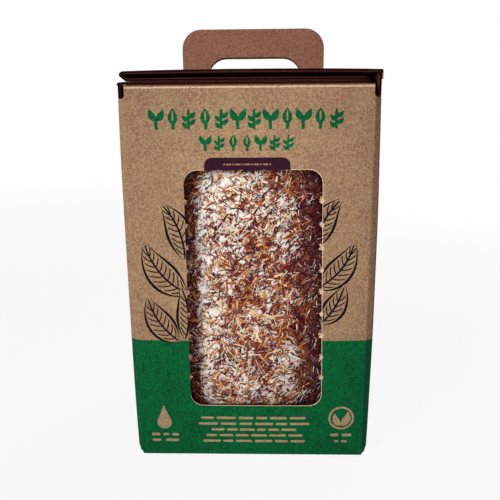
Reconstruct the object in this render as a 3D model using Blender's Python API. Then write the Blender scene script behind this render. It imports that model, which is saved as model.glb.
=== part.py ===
"""Mushroom grow kit: metres, +Z up, origin at the centre of the base, front towards -Y.

A corrugated carton with a torn-out window in its front stands on its bottom flaps. The top
flaps of its front and back walls rise as a two-layer carrying handle, which passes through
slots in two cover flaps folded over from the side walls. Inside is a block of straw that
mycelium has grown through, in a film bag with an open neck.
"""
import math

import bpy
from mathutils.geometry import delaunay_2d_cdt

# Carton walls
WIDTH = 0.168
DEPTH = 0.130
HEIGHT = 0.264
BOARD = 0.0016
GAP = 0.0003
CREASE = 0.003
FRONT_BULGE = 0.002
SIDE_BULGE = 0.008
BACK_BULGE = 0.003
BULGE_MARGIN = 0.0065
GLUE_TAB = 0.022
NOTCH_DEPTH = 0.0077
NOTCH_WIDTH = 0.0042
CORNER_FOOT = 0.0035

# Window in the front wall, a little wider at its foot, with the stubs of the torn perforation
WINDOW_CENTRE = 0.0032
WINDOW_TOP_WIDTH = 0.0893
WINDOW_FOOT_WIDTH = 0.0932
WINDOW_FOOT = 0.0415
WINDOW_TOP = 0.2108
WINDOW_ROUND = 0.009
NIB_FIRST = 0.0637
NIB_PITCH = 0.0158
NIB_COUNT = 9
NIB_WIDTH = 0.0026
NIB_REACH = 0.0012

# Flaps: heights of their outer faces above the front wall's top fold, and the fold's radius
FOLD = 0.0012
LEFT_FLAP_TOP = 0.0026
RIGHT_FLAP_TOP = 0.0090
TONGUE_TURN = 0.00175
FLAP_INSET = 0.0015
FLAP_END = 0.078
TONGUE_END = 0.070
BEAK_TIP = -0.0821
SLOT_WIDTH = 0.0064
SLOT_PLAY = 0.0035
BOTTOM_FLAP_SIDE = 0.055
BOTTOM_FLAP_BACK = 0.085

# Handle, with its finger slot
HANDLE_LEFT = -0.0498
HANDLE_RIGHT = 0.0520
HANDLE_TOP = 0.0377
HANDLE_ROUND = 0.0135
SLOT_LEFT = -0.0306
SLOT_RIGHT = 0.0355
SLOT_TOP = 0.0185
SLOT_FOOT = 0.0035
SLOT_ROUND = 0.0130

# Straw block and film bag, which sit a little turned in the carton, left side forward
BLOCK_CENTRE = 0.003
BLOCK_TURN = math.radians(10)
BLOCK_HALF_WIDTH = 0.0835
BLOCK_HALF_DEPTH = 0.0575
BLOCK_FOOT = 0.0078
BLOCK_TOP = 0.236
BLOCK_AROUND = 40
BLOCK_RINGS = 22
BLOCK_SQUARE = 8
BLOCK_LUMP = 0.0011
FILM = 0.0004
NECK_HALF_WIDTH = 0.030
NECK_HALF_DEPTH = 0.012
NECK_TOP = 0.257


class Fold:
    """The middle line of a board, seen along its creases: straight runs and round bends."""

    def __init__(self, start, heading_deg):
        self.point = start
        self.heading = math.radians(heading_deg)
        self.length = 0.0
        self.spans = []
        self.lines = [0.0]

    def run(self, length):
        self.spans.append((self.length, length, self.point, self.heading, 0.0))
        self.point = self.ahead(self.point, self.heading, length)
        self.length += length
        self.lines.append(self.length)
        return self

    def bend(self, angle_deg, radius, steps=3):
        turn = math.radians(angle_deg)
        length = abs(turn) * radius
        curve = turn / length
        self.spans.append((self.length, length, self.point, self.heading, curve))
        self.lines += [self.length + length * k / steps for k in range(1, steps + 1)]
        self.point, self.heading = self.place(self.spans[-1], length)
        self.length += length
        return self

    @staticmethod
    def ahead(point, heading, length):
        return (point[0] + length * math.cos(heading), point[1] + length * math.sin(heading))

    def place(self, span, along):
        start, length, point, heading, curve = span
        if curve == 0.0:
            return self.ahead(point, heading, along), heading
        turned = heading + curve * along
        step_x = (math.sin(turned) - math.sin(heading)) / curve
        step_y = (math.cos(heading) - math.cos(turned)) / curve
        return (point[0] + step_x, point[1] + step_y), turned

    def at(self, s):
        """Point on the middle line and the unit vector to its right, at length s."""
        span = self.spans[0]
        for candidate in self.spans:
            if candidate[0] <= s + 1e-9:
                span = candidate
        point, heading = self.place(span, s - span[0])
        return point, (math.sin(heading), -math.cos(heading))


def rounded(corners, steps=5):
    """Closed outline through (x, y, radius) corners, each rounded by its own radius."""
    points = []
    count = len(corners)
    for i, (x, y, radius) in enumerate(corners):
        if radius == 0.0:
            points.append((x, y))
            continue
        legs = []
        for j in (i - 1, (i + 1) % count):
            dx, dy = corners[j][0] - x, corners[j][1] - y
            size = math.hypot(dx, dy)
            legs.append((dx / size, dy / size))
        (ax, ay), (bx, by) = legs
        half = math.acos(max(-1.0, min(1.0, ax * bx + ay * by))) / 2
        reach = radius / math.tan(half)
        mid_x, mid_y = ax + bx, ay + by
        size = math.hypot(mid_x, mid_y)
        centre_x = x + mid_x / size * radius / math.sin(half)
        centre_y = y + mid_y / size * radius / math.sin(half)
        first = math.atan2(y + ay * reach - centre_y, x + ax * reach - centre_x)
        last = math.atan2(y + by * reach - centre_y, x + bx * reach - centre_x)
        sweep = (last - first + math.pi) % (2 * math.pi) - math.pi
        for k in range(steps + 1):
            angle = first + sweep * k / steps
            points.append((centre_x + radius * math.cos(angle),
                           centre_y + radius * math.sin(angle)))
    return points


def inside(point, outline):
    """True where a point lies inside a closed outline."""
    x, y = point
    result = False
    for (x0, y0), (x1, y1) in zip(outline, outline[1:] + outline[:1]):
        if (y0 > y) != (y1 > y) and x < x0 + (y - y0) / (y1 - y0) * (x1 - x0):
            result = not result
    return result


def flat_blank(outline, holes, upright_lines, level_lines):
    """Triangles of a cut blank, with a row of corners on every crease and grid line."""
    low_u, high_u = min(p[0] for p in outline), max(p[0] for p in outline)
    low_v, high_v = min(p[1] for p in outline), max(p[1] for p in outline)
    points, edges = [], []
    for loop in [outline] + holes:
        first = len(points)
        points += loop
        edges += [(first + i, first + (i + 1) % len(loop)) for i in range(len(loop))]
    for u in upright_lines:
        if low_u < u < high_u:
            edges.append((len(points), len(points) + 1))
            points += [(u, low_v), (u, high_v)]
    for v in level_lines:
        if low_v < v < high_v:
            edges.append((len(points), len(points) + 1))
            points += [(low_u, v), (high_u, v)]
    verts, _, faces = delaunay_2d_cdt(points, edges, [], 0, 1e-7)[:3]
    kept = []
    for face in faces:
        middle = (sum(verts[i][0] for i in face) / 3, sum(verts[i][1] for i in face) / 3)
        if inside(middle, outline) and not any(inside(middle, hole) for hole in holes):
            kept.append(tuple(face))
    used = sorted({i for face in kept for i in face})
    renumber = {old: new for new, old in enumerate(used)}
    return [tuple(verts[i]) for i in used], [tuple(renumber[i] for i in face) for face in kept]


def board_mesh(name, blank, outer, inner):
    """Closed board whose two faces are the blank's corners carried through outer and inner."""
    corners, faces = blank
    count = len(corners)
    points = [outer(u, v) for u, v in corners] + [inner(u, v) for u, v in corners]
    sides = {}
    for a, b, c in faces:
        for edge in ((a, b), (b, c), (c, a)):
            sides[edge] = True
    rim = [edge for edge in sides if (edge[1], edge[0]) not in sides]
    polygons = list(faces)
    polygons += [(c + count, b + count, a + count) for a, b, c in faces]
    polygons += [(b, a, a + count, b + count) for a, b in rim]
    return solid(name, points, polygons)


def solid(name, points, polygons):
    """Object with its faces turned outwards."""
    mesh = bpy.data.meshes.new(name)
    mesh.from_pydata(points, [], polygons)
    mesh.update()
    volume = 0.0
    mesh.calc_loop_triangles()
    for triangle in mesh.loop_triangles:
        a, b, c = (mesh.vertices[i].co for i in triangle.vertices)
        volume += a.dot(b.cross(c)) / 6
    if volume < 0:
        mesh.flip_normals()
    item = bpy.data.objects.new(name, mesh)
    bpy.context.scene.collection.objects.link(item)
    return item


def finish(item, colour, roughness):
    """Give an object its own material."""
    material = bpy.data.materials.new(item.name)
    material.use_nodes = True
    shader = material.node_tree.nodes["Principled BSDF"]
    shader.inputs["Base Color"].default_value = (*colour, 1.0)
    shader.inputs["Roughness"].default_value = roughness
    shader.inputs["Metallic"].default_value = 0.0
    item.data.materials.append(material)
    return item


KRAFT = (0.366, 0.227, 0.124)
STRAW = (0.42, 0.31, 0.22)
CLEAR = (0.80, 0.84, 0.90)


def bulge(z, reach):
    """How far a wall is pushed out at a height; its creases at both ends stay straight."""
    share = (z - HEIGHT / 2) / (HEIGHT / 2 - BULGE_MARGIN)
    return reach * max(0.0, 1.0 - abs(share) ** 4)


def wall_outline(panels):
    """Outline of the wrapped walls' blank, cut back at the creases between its panels."""
    points = []
    for start, end, low, _ in panels:
        points += [(start, CORNER_FOOT), (start, low), (end, low), (end, CORNER_FOOT)]
    for start, end, _, high in reversed(panels):
        points += [(end, HEIGHT - NOTCH_DEPTH), (end, high)]
        points += [(start, high), (start, HEIGHT - NOTCH_DEPTH)]
    return points


def window_outline(offset):
    """Window cut in blank lengths, with a stub of board at every bridge of its perforation."""
    def edge(side, z):
        share = (z - WINDOW_FOOT) / (WINDOW_TOP - WINDOW_FOOT)
        width = WINDOW_FOOT_WIDTH + (WINDOW_TOP_WIDTH - WINDOW_FOOT_WIDTH) * share
        return WINDOW_CENTRE + side * width / 2

    corners = []
    heights = [NIB_FIRST + NIB_PITCH * k for k in range(NIB_COUNT)]
    for side, order in ((1, heights), (-1, heights[::-1])):
        rise = side * NIB_WIDTH / 2
        ends = [WINDOW_FOOT, WINDOW_TOP] if side == 1 else [WINDOW_TOP, WINDOW_FOOT]
        corners.append((edge(side, ends[0]), ends[0], WINDOW_ROUND))
        for z in order:
            corners.append((edge(side, z - rise), z - rise, 0.0))
            corners.append((edge(side, z) - side * NIB_REACH, z, 0.0))
            corners.append((edge(side, z + rise), z + rise, 0.0))
        corners.append((edge(side, ends[1]), ends[1], WINDOW_ROUND))
    return [(x + offset, z) for x, z in rounded(corners)]


def carton_walls():
    """Four walls wrapped from one blank, glued by a tab inside the back wall."""
    middle = BOARD / 2
    turn = CREASE - middle
    side_x, face_y = WIDTH / 2 - middle, DEPTH / 2 - middle
    tab_y = face_y - BOARD - GAP
    wall = Fold((-side_x + turn + GLUE_TAB, tab_y), 180)
    wall.run(GLUE_TAB)
    wall.bend(90, turn)
    left_start = wall.length
    wall.run(tab_y - turn + face_y - turn)
    left_end = wall.length
    wall.bend(90, turn)
    front_zero = wall.length + side_x - turn
    wall.run(2 * (side_x - turn))
    wall.bend(90, turn)
    right_start = wall.length
    wall.run(2 * (face_y - turn))
    right_end = wall.length
    wall.bend(90, turn)
    back_zero = wall.length + side_x - turn
    wall.run(2 * side_x - turn)

    inset = WIDTH / 2 - NOTCH_WIDTH
    fold_room = FOLD + middle + GAP
    handle_edge = HEIGHT - fold_room
    foot_front, foot_back = fold_room, BOARD + GAP + fold_room
    foot_side = 2 * (BOARD + GAP) + fold_room
    panels = [
        (0.0, GLUE_TAB, 0.012, HEIGHT - 0.012),
        (left_start, left_end, foot_side, HEIGHT + LEFT_FLAP_TOP - fold_room),
        (front_zero - inset, front_zero + inset, foot_front, handle_edge),
        (right_start, right_end, foot_side, HEIGHT + RIGHT_FLAP_TOP - BOARD - GAP),
        (back_zero - inset, back_zero + inset, foot_back, handle_edge),
    ]
    outline = wall_outline(panels)
    columns = [front_zero + x for x in (-0.062, 0.064)]
    columns += [left_start + (left_end - left_start) * k / 6 for k in range(1, 6)]
    columns += [right_start + (right_end - right_start) * k / 6 for k in range(1, 6)]
    columns += [back_zero + x for x in (-0.055, -0.02, 0.02, 0.055)]
    rows = [0.015, 0.035, 0.065, 0.1, 0.14, 0.18, 0.215, 0.24]
    blank = flat_blank(outline, [window_outline(front_zero)], wall.lines + columns, rows)

    def place(s, z, offset):
        (x, y), (out_x, out_y) = wall.at(s)
        across, along = x / side_x, y / face_y
        push_x = math.copysign(bulge(z, SIDE_BULGE), x) * max(0.0, 1.0 - along * along)
        reach = FRONT_BULGE if y < 0 else BACK_BULGE
        push_y = math.copysign(bulge(z, reach), y) * max(0.0, 1.0 - across * across)
        return (x + push_x + out_x * offset, y + push_y + out_y * offset, z)

    return board_mesh("carton_walls", blank, lambda s, z: place(s, z, middle),
                      lambda s, z: place(s, z, -middle))


def flap(name, fold, outline, holes, plane):
    """Flap folded along its blank's first direction; plane puts (along, across, up) in place."""
    blank = flat_blank(outline, holes, fold.lines, [])

    def place(s, across, offset):
        (along, up), (out_a, out_u) = fold.at(s)
        return plane(along + out_a * offset, across, up + out_u * offset)

    return board_mesh(name, blank, lambda s, v: place(s, v, BOARD / 2),
                      lambda s, v: place(s, v, -BOARD / 2))


def handle_flap(name, side):
    """Top flap of the front (side -1) or back wall, folded in and then up as half the handle."""
    middle = BOARD / 2
    wall_y = DEPTH / 2 - middle
    meeting = GAP / 2 + middle
    fold = Fold((-wall_y, HEIGHT - FOLD - middle), 90)
    fold.bend(-90, FOLD)
    fold.run(wall_y - meeting - 2 * FOLD)
    rise = fold.length
    fold.bend(90, FOLD)
    level = fold.length - (FOLD - middle)
    fold.run(HANDLE_TOP - FOLD + middle)
    top = fold.length
    half = WIDTH / 2 - NOTCH_WIDTH
    neck = rise - 0.004
    outline = rounded([
        (0.0, -half, 0.0), (neck, -half, 0.006), (neck, HANDLE_LEFT, 0.002),
        (top, HANDLE_LEFT, HANDLE_ROUND), (top, HANDLE_RIGHT, HANDLE_ROUND),
        (neck, HANDLE_RIGHT, 0.002), (neck, half, 0.006), (0.0, half, 0.0),
    ])
    slot = rounded([
        (level + SLOT_FOOT, SLOT_LEFT, 0.002), (level + SLOT_TOP, SLOT_LEFT, SLOT_ROUND),
        (level + SLOT_TOP, SLOT_RIGHT, SLOT_ROUND), (level + SLOT_FOOT, SLOT_RIGHT, 0.002),
    ])
    return flap(name, fold, outline, [slot], lambda a, x, z: (x, -side * a, z))


def slot_hole(at_left, at_right):
    """Slot that the handle passes through, between two lengths along a cover flap."""
    half = SLOT_WIDTH / 2
    low, high = min(at_left, at_right), max(at_left, at_right)
    return rounded([(low, -half, 0.002), (high, -half, 0.002), (high, half, 0.002),
                    (low, half, 0.002)], 3)


def cover_flap_left():
    """Lower cover flap, folded over from the left wall."""
    middle = BOARD / 2
    wall_x = WIDTH / 2 - middle
    fold = Fold((-wall_x, HEIGHT + LEFT_FLAP_TOP - FOLD - middle), 90)
    fold.bend(-90, FOLD)
    zero = fold.length + wall_x - FOLD
    fold.run(wall_x - FOLD + FLAP_END)
    half = DEPTH / 2 - FLAP_INSET
    outline = rounded([(0.0, -half, 0.0), (fold.length, -half, 0.005),
                       (fold.length, half, 0.005), (0.0, half, 0.0)], 3)
    hole = slot_hole(zero + HANDLE_LEFT - SLOT_PLAY, zero + HANDLE_RIGHT + SLOT_PLAY)
    return flap("cover_flap_left", fold, outline, [hole], lambda a, y, z: (a, y, z))


def cover_flap_right():
    """Upper cover flap, hinged at the right wall, with its end folded back under as a tongue."""
    middle = BOARD / 2
    start_x = WIDTH / 2
    reach = start_x - (BEAK_TIP + TONGUE_TURN + middle)
    fold = Fold((start_x, HEIGHT + RIGHT_FLAP_TOP - middle), 180)
    fold.run(reach)
    fold.bend(180, TONGUE_TURN, 6)
    turned = fold.length
    fold.run(TONGUE_END - (start_x - reach))
    half = DEPTH / 2 - FLAP_INSET
    outline = rounded([(0.0, -half, 0.0), (fold.length, -half, 0.005),
                       (fold.length, half, 0.005), (0.0, half, 0.0)], 3)
    upper = slot_hole(start_x - (HANDLE_LEFT - SLOT_PLAY), start_x - (HANDLE_RIGHT + SLOT_PLAY))
    under = turned - (start_x - reach)
    lower = slot_hole(under + HANDLE_LEFT - SLOT_PLAY, under + HANDLE_RIGHT + SLOT_PLAY)
    item = flap("cover_flap_right", fold, outline, [upper, lower], lambda a, y, z: (a, y, z))
    crease_z = HEIGHT + RIGHT_FLAP_TOP - BOARD - GAP / 2
    for vertex in item.data.vertices:
        vertex.co.x -= start_x
        vertex.co.z -= crease_z
    item.location = (start_x, 0.0, crease_z)
    return item


def bottom_flap(name, wall, level, reach, half_width, plane):
    """Bottom flap folded in under a wall, lying on the flaps below it."""
    middle = BOARD / 2
    fold = Fold((-(wall - middle), level + FOLD + middle), -90)
    fold.bend(90, FOLD)
    fold.run(reach - FOLD - middle)
    outline = rounded([(0.0, -half_width, 0.0), (fold.length, -half_width, 0.006),
                       (fold.length, half_width, 0.006), (0.0, half_width, 0.0)], 3)
    return flap(name, fold, outline, [], plane)


def bottom_flaps():
    """Four bottom flaps; the front wall's is outermost and covers the whole base."""
    layer = BOARD + GAP
    across = WIDTH / 2 - NOTCH_WIDTH
    along = DEPTH / 2 - NOTCH_WIDTH - 2 * BOARD
    return [
        bottom_flap("bottom_flap_front", DEPTH / 2, 0.0, DEPTH - 2 * BOARD, across,
                    lambda a, x, z: (x, a, z)),
        bottom_flap("bottom_flap_back", DEPTH / 2, layer, BOTTOM_FLAP_BACK, across,
                    lambda a, x, z: (x, -a, z)),
        bottom_flap("bottom_flap_left", WIDTH / 2, 2 * layer, BOTTOM_FLAP_SIDE, along,
                    lambda a, y, z: (a, y, z)),
        bottom_flap("bottom_flap_right", WIDTH / 2, 2 * layer, BOTTOM_FLAP_SIDE, along,
                    lambda a, y, z: (-a, y, z)),
    ]


LUMP_WAVES = ((3, 31, 0.4), (5, 58, 2.1), (7, -47, 4.0), (11, 90, 1.3), (13, -118, 5.2))


def lump(angle, z):
    """Low rolling lumps of the packed straw, between -1 and 1."""
    total = 0.0
    for turns, climb, phase in LUMP_WAVES:
        total += math.sin(turns * angle + climb * z + phase)
    return total / len(LUMP_WAVES)


def turned(x, y):
    """Place in the carton of a point measured from the middle of the turned block."""
    cos, sin = math.cos(BLOCK_TURN), math.sin(BLOCK_TURN)
    return BLOCK_CENTRE + x * cos - y * sin, x * sin + y * cos


def block_ring(angle, share, offset):
    """Point of the block's skin: angle round it, share of the way up, pushed out by offset."""
    middle = (BLOCK_TOP + BLOCK_FOOT) / 2
    half = (BLOCK_TOP - BLOCK_FOOT) / 2 + offset
    rise = math.sin((share - 0.5) * math.pi)
    climb = math.copysign(abs(rise) ** 0.75, rise)
    z = middle + half * climb
    narrow = max(0.0, 1.0 - abs(climb) ** BLOCK_SQUARE) ** 0.5
    swell = BLOCK_LUMP * (lump(angle, z) - 1.0) * narrow
    x = (BLOCK_HALF_WIDTH + swell) * narrow * math.cos(angle) + offset * math.cos(angle)
    y = (BLOCK_HALF_DEPTH + swell) * narrow * math.sin(angle) + offset * math.sin(angle)
    return (*turned(x, y), z)


def straw_block():
    """The straw block, a rounded pillow with low lumps."""
    points, polygons = [], []
    for ring in range(1, BLOCK_RINGS):
        for k in range(BLOCK_AROUND):
            points.append(block_ring(2 * math.pi * k / BLOCK_AROUND, ring / BLOCK_RINGS, 0.0))
    foot, top = len(points), len(points) + 1
    points += [(BLOCK_CENTRE, 0.0, BLOCK_FOOT), (BLOCK_CENTRE, 0.0, BLOCK_TOP)]
    last = (BLOCK_RINGS - 2) * BLOCK_AROUND
    for k in range(BLOCK_AROUND):
        after = (k + 1) % BLOCK_AROUND
        polygons.append((foot, after, k))
        polygons.append((top, last + k, last + after))
        for ring in range(BLOCK_RINGS - 2):
            low, high = ring * BLOCK_AROUND, (ring + 1) * BLOCK_AROUND
            polygons.append((low + k, low + after, high + after, high + k))
    return solid("straw_block", points, polygons)


def grow_bag():
    """Film bag that follows the block, gathered above it to an open neck."""
    shoulder = int(BLOCK_RINGS * 0.9)
    points, polygons = [], []
    walls = []
    for offset in (GAP, GAP + FILM):
        rings = []
        for ring in range(1, shoulder + 1):
            rings.append([block_ring(2 * math.pi * k / BLOCK_AROUND, ring / BLOCK_RINGS, offset)
                          for k in range(BLOCK_AROUND)])
        for share in (0.35, 0.7, 1.0):
            ring = []
            for k, (x, y, z) in enumerate(rings[shoulder - 1]):
                angle = 2 * math.pi * k / BLOCK_AROUND
                neck_x, neck_y = turned((NECK_HALF_WIDTH + offset) * math.cos(angle),
                                        (NECK_HALF_DEPTH + offset) * math.sin(angle))
                climb = math.sin(share * math.pi / 2)
                ring.append((x + (neck_x - x) * share, y + (neck_y - y) * share,
                             z + (NECK_TOP - z) * climb + offset * (1.0 - share)))
            rings.append(ring)
        walls.append(rings)
    for rings in walls:
        for ring in rings:
            points += ring
    rows = len(walls[0])
    inner_foot, outer_foot = len(points), len(points) + 1
    for offset in (GAP, GAP + FILM):
        points.append((BLOCK_CENTRE, 0.0, BLOCK_FOOT - offset))
    shift = rows * BLOCK_AROUND
    for k in range(BLOCK_AROUND):
        after = (k + 1) % BLOCK_AROUND
        for row in range(rows - 1):
            low, high = row * BLOCK_AROUND, (row + 1) * BLOCK_AROUND
            polygons.append((low + k, high + k, high + after, low + after))
            polygons.append((shift + low + k, shift + low + after, shift + high + after,
                             shift + high + k))
        lip = (rows - 1) * BLOCK_AROUND
        polygons.append((lip + k, shift + lip + k, shift + lip + after, lip + after))
        polygons.append((inner_foot, k, after))
        polygons.append((outer_foot, shift + after, shift + k))
    return solid("grow_bag", points, polygons)


def build():
    for item in list(bpy.data.objects):
        bpy.data.objects.remove(item, do_unlink=True)
    finish(carton_walls(), KRAFT, 0.85)
    finish(handle_flap("handle_flap_front", -1), KRAFT, 0.85)
    finish(handle_flap("handle_flap_back", 1), KRAFT, 0.85)
    finish(cover_flap_left(), KRAFT, 0.85)
    finish(cover_flap_right(), KRAFT, 0.85)
    for item in bottom_flaps():
        finish(item, KRAFT, 0.85)
    finish(straw_block(), STRAW, 0.95)
    finish(grow_bag(), CLEAR, 0.15)


build()
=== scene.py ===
import math

import bmesh
import bpy
import numpy as np
from mathutils import Matrix, Vector, noise
from mathutils.geometry import delaunay_2d_cdt


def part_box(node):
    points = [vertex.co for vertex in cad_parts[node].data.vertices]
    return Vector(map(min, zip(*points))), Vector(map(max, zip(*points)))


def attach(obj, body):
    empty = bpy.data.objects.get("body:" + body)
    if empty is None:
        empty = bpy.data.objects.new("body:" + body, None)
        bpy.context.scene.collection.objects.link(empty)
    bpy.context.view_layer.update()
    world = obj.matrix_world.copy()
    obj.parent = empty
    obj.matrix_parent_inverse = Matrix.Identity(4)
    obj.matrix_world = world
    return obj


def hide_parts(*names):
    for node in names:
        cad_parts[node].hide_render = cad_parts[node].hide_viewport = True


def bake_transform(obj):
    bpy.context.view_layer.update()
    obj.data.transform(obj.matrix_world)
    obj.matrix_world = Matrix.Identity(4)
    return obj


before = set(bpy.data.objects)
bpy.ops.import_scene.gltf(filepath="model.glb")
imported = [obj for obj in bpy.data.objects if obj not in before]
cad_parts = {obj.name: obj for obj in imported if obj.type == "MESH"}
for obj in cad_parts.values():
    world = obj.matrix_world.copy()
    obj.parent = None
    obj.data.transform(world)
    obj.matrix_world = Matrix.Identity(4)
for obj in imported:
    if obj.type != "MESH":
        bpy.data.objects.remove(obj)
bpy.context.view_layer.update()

# Carton walls
# Four walls wrapped from one sheet of E-flute board: two kraft liners glued to a fluted paper.
# The sheet is die cut, printed, creased at the corners and closed by a glued tab at the back.
BOARD = 0.0016
LINER = 0.00026
FLUTE_PITCH = 0.0033
FLUTE_PAPER = 0.00018
GAP = 0.0003
FOLD = 0.0012
CORNER_ROUND, CORNER_FLAT, CORNER_STEP = 0.0010, 0.0040, 0.0015
CREASE_RIDGE, RIDGE_LOW, RIDGE_TALL = 0.0007, 0.012, 0.010
NOTCH_DEPTH, NOTCH_WIDTH, NOTCH_ROUND = 0.0077, 0.0048, 0.0022
GLUE_TAB, TAB_SHORT = 0.022, 0.012
CORNER_FOOT, FOOT_SLOPE = 0.0027, 0.0022
FRONT_BULGE, SIDE_BULGE, BACK_BULGE = 0.002, 0.008, 0.003
BULGE_MARGIN, BULGE_SQUARE = 0.0065, 4
SIDE_STEP, FRONT_STEP, BACK_STEP = 0.008, 0.009, 0.011
ROW_FIRST, ROW_STEP = 0.004, 0.011
SAME, MERGE = 1e-9, 1e-7

left_flap_low, left_flap_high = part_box("cover_flap_left")
right_flap_low, right_flap_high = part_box("cover_flap_right")
handle_low, handle_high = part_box("handle_flap_front")
half_board = BOARD / 2
width = -2 * left_flap_low.x
depth = -2 * handle_low.y
height = handle_low.z + FOLD + half_board


class Fold:
    """The middle line of a board seen along its creases: straight runs and round bends."""

    def __init__(self, start, heading_deg):
        self.point = np.array(start)
        self.heading = math.radians(heading_deg)
        self.length = 0.0
        self.spans = []
        self.lines = [0.0]

    def run(self, length, step=None):
        self.add(length, 0.0, 0.0, max(1, round(length / step)) if step else 1)

    def bend(self, angle_deg, radius, steps=8):
        turn = math.radians(angle_deg)
        self.add(abs(turn) * radius, turn, turn / (abs(turn) * radius), steps)

    def add(self, length, turn, curve, steps):
        self.spans.append((self.length, self.point, self.heading, curve))
        self.lines += [self.length + length * k / steps for k in range(1, steps + 1)]
        self.point = self.point + self.gone(length, self.heading, self.heading + turn, curve)
        self.heading += turn
        self.length += length

    def gone(self, along, heading, turned, curve):
        """Way gone on a run or a bend, from its first heading to the one that it turned to."""
        if curve == 0.0:
            return np.stack([along * np.cos(heading), along * np.sin(heading)], -1)
        return np.stack([np.sin(turned) - np.sin(heading),
                         np.cos(heading) - np.cos(turned)], -1) / curve

    def at(self, s):
        """Points on the middle line, and unit vectors to its right, at lengths s."""
        points, rights = np.zeros((len(s), 2)), np.zeros((len(s), 2))
        starts = [span[0] for span in self.spans]
        which = np.clip(np.searchsorted(starts, s + SAME) - 1, 0, len(starts) - 1)
        for i, (start, point, heading, curve) in enumerate(self.spans):
            here = which == i
            along = s[here] - start
            turned = heading + curve * along
            points[here] = point + self.gone(along, heading, turned, curve)
            rights[here] = np.stack([np.sin(turned), -np.cos(turned)], -1)
        return points, rights


def rounded(corners, steps=9):
    """Closed outline through (x, y, radius) corners, each rounded by its own radius."""
    points = []
    count = len(corners)
    for i, (x, y, radius) in enumerate(corners):
        if radius == 0.0:
            points.append((x, y))
            continue
        corner = Vector((x, y))
        before = (Vector(corners[i - 1][:2]) - corner).normalized()
        after = (Vector(corners[(i + 1) % count][:2]) - corner).normalized()
        half = before.angle(after) / 2
        centre = corner + (before + after).normalized() * radius / math.sin(half)
        first = corner + before * radius / math.tan(half) - centre
        last = corner + after * radius / math.tan(half) - centre
        start = math.atan2(first.y, first.x)
        sweep = (math.atan2(last.y, last.x) - start + math.pi) % (2 * math.pi) - math.pi
        for k in range(steps + 1):
            angle = start + sweep * k / steps
            points.append((centre.x + radius * math.cos(angle),
                           centre.y + radius * math.sin(angle)))
    return points


def inside(points, outline):
    """Which of the points lie inside a closed outline."""
    ring = np.array(outline)
    low, high = ring.min(0), ring.max(0)
    near = np.nonzero(((points >= low) & (points <= high)).all(1))[0]
    x, y = points[near].T
    held = np.zeros(len(near), bool)
    for (x0, y0), (x1, y1) in zip(ring, np.roll(ring, -1, 0)):
        if y0 != y1:
            held ^= ((y0 > y) != (y1 > y)) & (x < x0 + (y - y0) / (y1 - y0) * (x1 - x0))
    result = np.zeros(len(points), bool)
    result[near] = held
    return result


def cut_blank(outline, holes, columns, rows, prints=()):
    """Corners and triangles of a cut blank, with the ink that covers each triangle."""
    ring = np.array(outline)
    low, high = ring.min(0), ring.max(0)
    points, edges = [], []
    for loop in [outline] + list(holes) + [shape for shape, _ in prints]:
        first = len(points)
        points += [tuple(p) for p in loop]
        edges += [(first + i, first + (i + 1) % len(loop)) for i in range(len(loop))]
    for axis, lines in ((0, columns), (1, rows)):
        for line in lines:
            if low[axis] < line < high[axis]:
                ends = np.array([low, high])
                ends[:, axis] = line
                edges.append((len(points), len(points) + 1))
                points += ends.tolist()
    verts, _, faces = delaunay_2d_cdt([Vector(p) for p in points], edges, [], 0, MERGE)[:3]
    verts, faces = np.array([tuple(v) for v in verts]), np.array(faces)
    middles = verts[faces].mean(1)
    kept = inside(middles, outline)
    for hole in holes:
        kept &= ~inside(middles, hole)
    faces, middles = faces[kept], middles[kept]
    inks = np.zeros(len(faces), int)
    for shape, ink in prints:
        inks[inside(middles, shape)] = ink
    used, renumbered = np.unique(faces, return_inverse=True)
    return verts[used], renumbered.reshape(faces.shape), inks


def edge_samples(loop, step, solid_inside):
    """Even steps round a cut edge, and the way into the board at each."""
    ring = np.array(loop)
    ahead = np.roll(ring, -1, 0)
    lengths = np.linalg.norm(ahead - ring, axis=1)
    ends = np.cumsum(lengths)
    along = np.arange(0, ends[-1], step)
    which = np.searchsorted(ends, along, side="right")
    share = (along - (ends[which] - lengths[which])) / lengths[which]
    points = ring[which] + (ahead[which] - ring[which]) * share[:, None]
    area = (ring[:, 0] * ahead[:, 1] - ahead[:, 0] * ring[:, 1]).sum()
    way = (ahead[which] - ring[which]) / lengths[which][:, None]
    turn = (1 if area > 0 else -1) * (1 if solid_inside else -1)
    inward = np.stack([-way[:, 1], way[:, 0]], 1) * turn
    return points, (inward + np.roll(inward, 1, 0) + np.roll(inward, -1, 0)) / 3


def stand(name, data):
    """New object in the scene."""
    thing = bpy.data.objects.new(name, data)
    bpy.context.scene.collection.objects.link(thing)
    return thing


def new_piece(name, points, polygons, slots, finishes, sharp_deg=35):
    """Object from corners and faces, its faces turned outwards and smooth up to an angle."""
    mesh = bpy.data.meshes.new(name)
    mesh.from_pydata(np.asarray(points).tolist(), [], polygons)
    for finish in finishes:
        mesh.materials.append(finish)
    if slots is not None:
        mesh.polygons.foreach_set("material_index", slots)
    work = bmesh.new()
    work.from_mesh(mesh)
    bmesh.ops.recalc_face_normals(work, faces=work.faces)
    work.to_mesh(mesh)
    work.free()
    mesh.shade_smooth()
    mesh.set_sharp_from_angle(angle=math.radians(sharp_deg))
    return stand(name, mesh)


KRAFT, GREEN, BLACK, AUBERGINE, BARE, RAW_AND_SHADED, FLUTE_SHADED, DULL_OR_SHADED, PALE_OR_HIGHLIGHT, INNER_SHADED = range(10)
FLUTE_STEP = 0.00061
FLUTE_REACHES = (0.0001, 0.0007, 0.0013, 0.0020)


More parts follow.
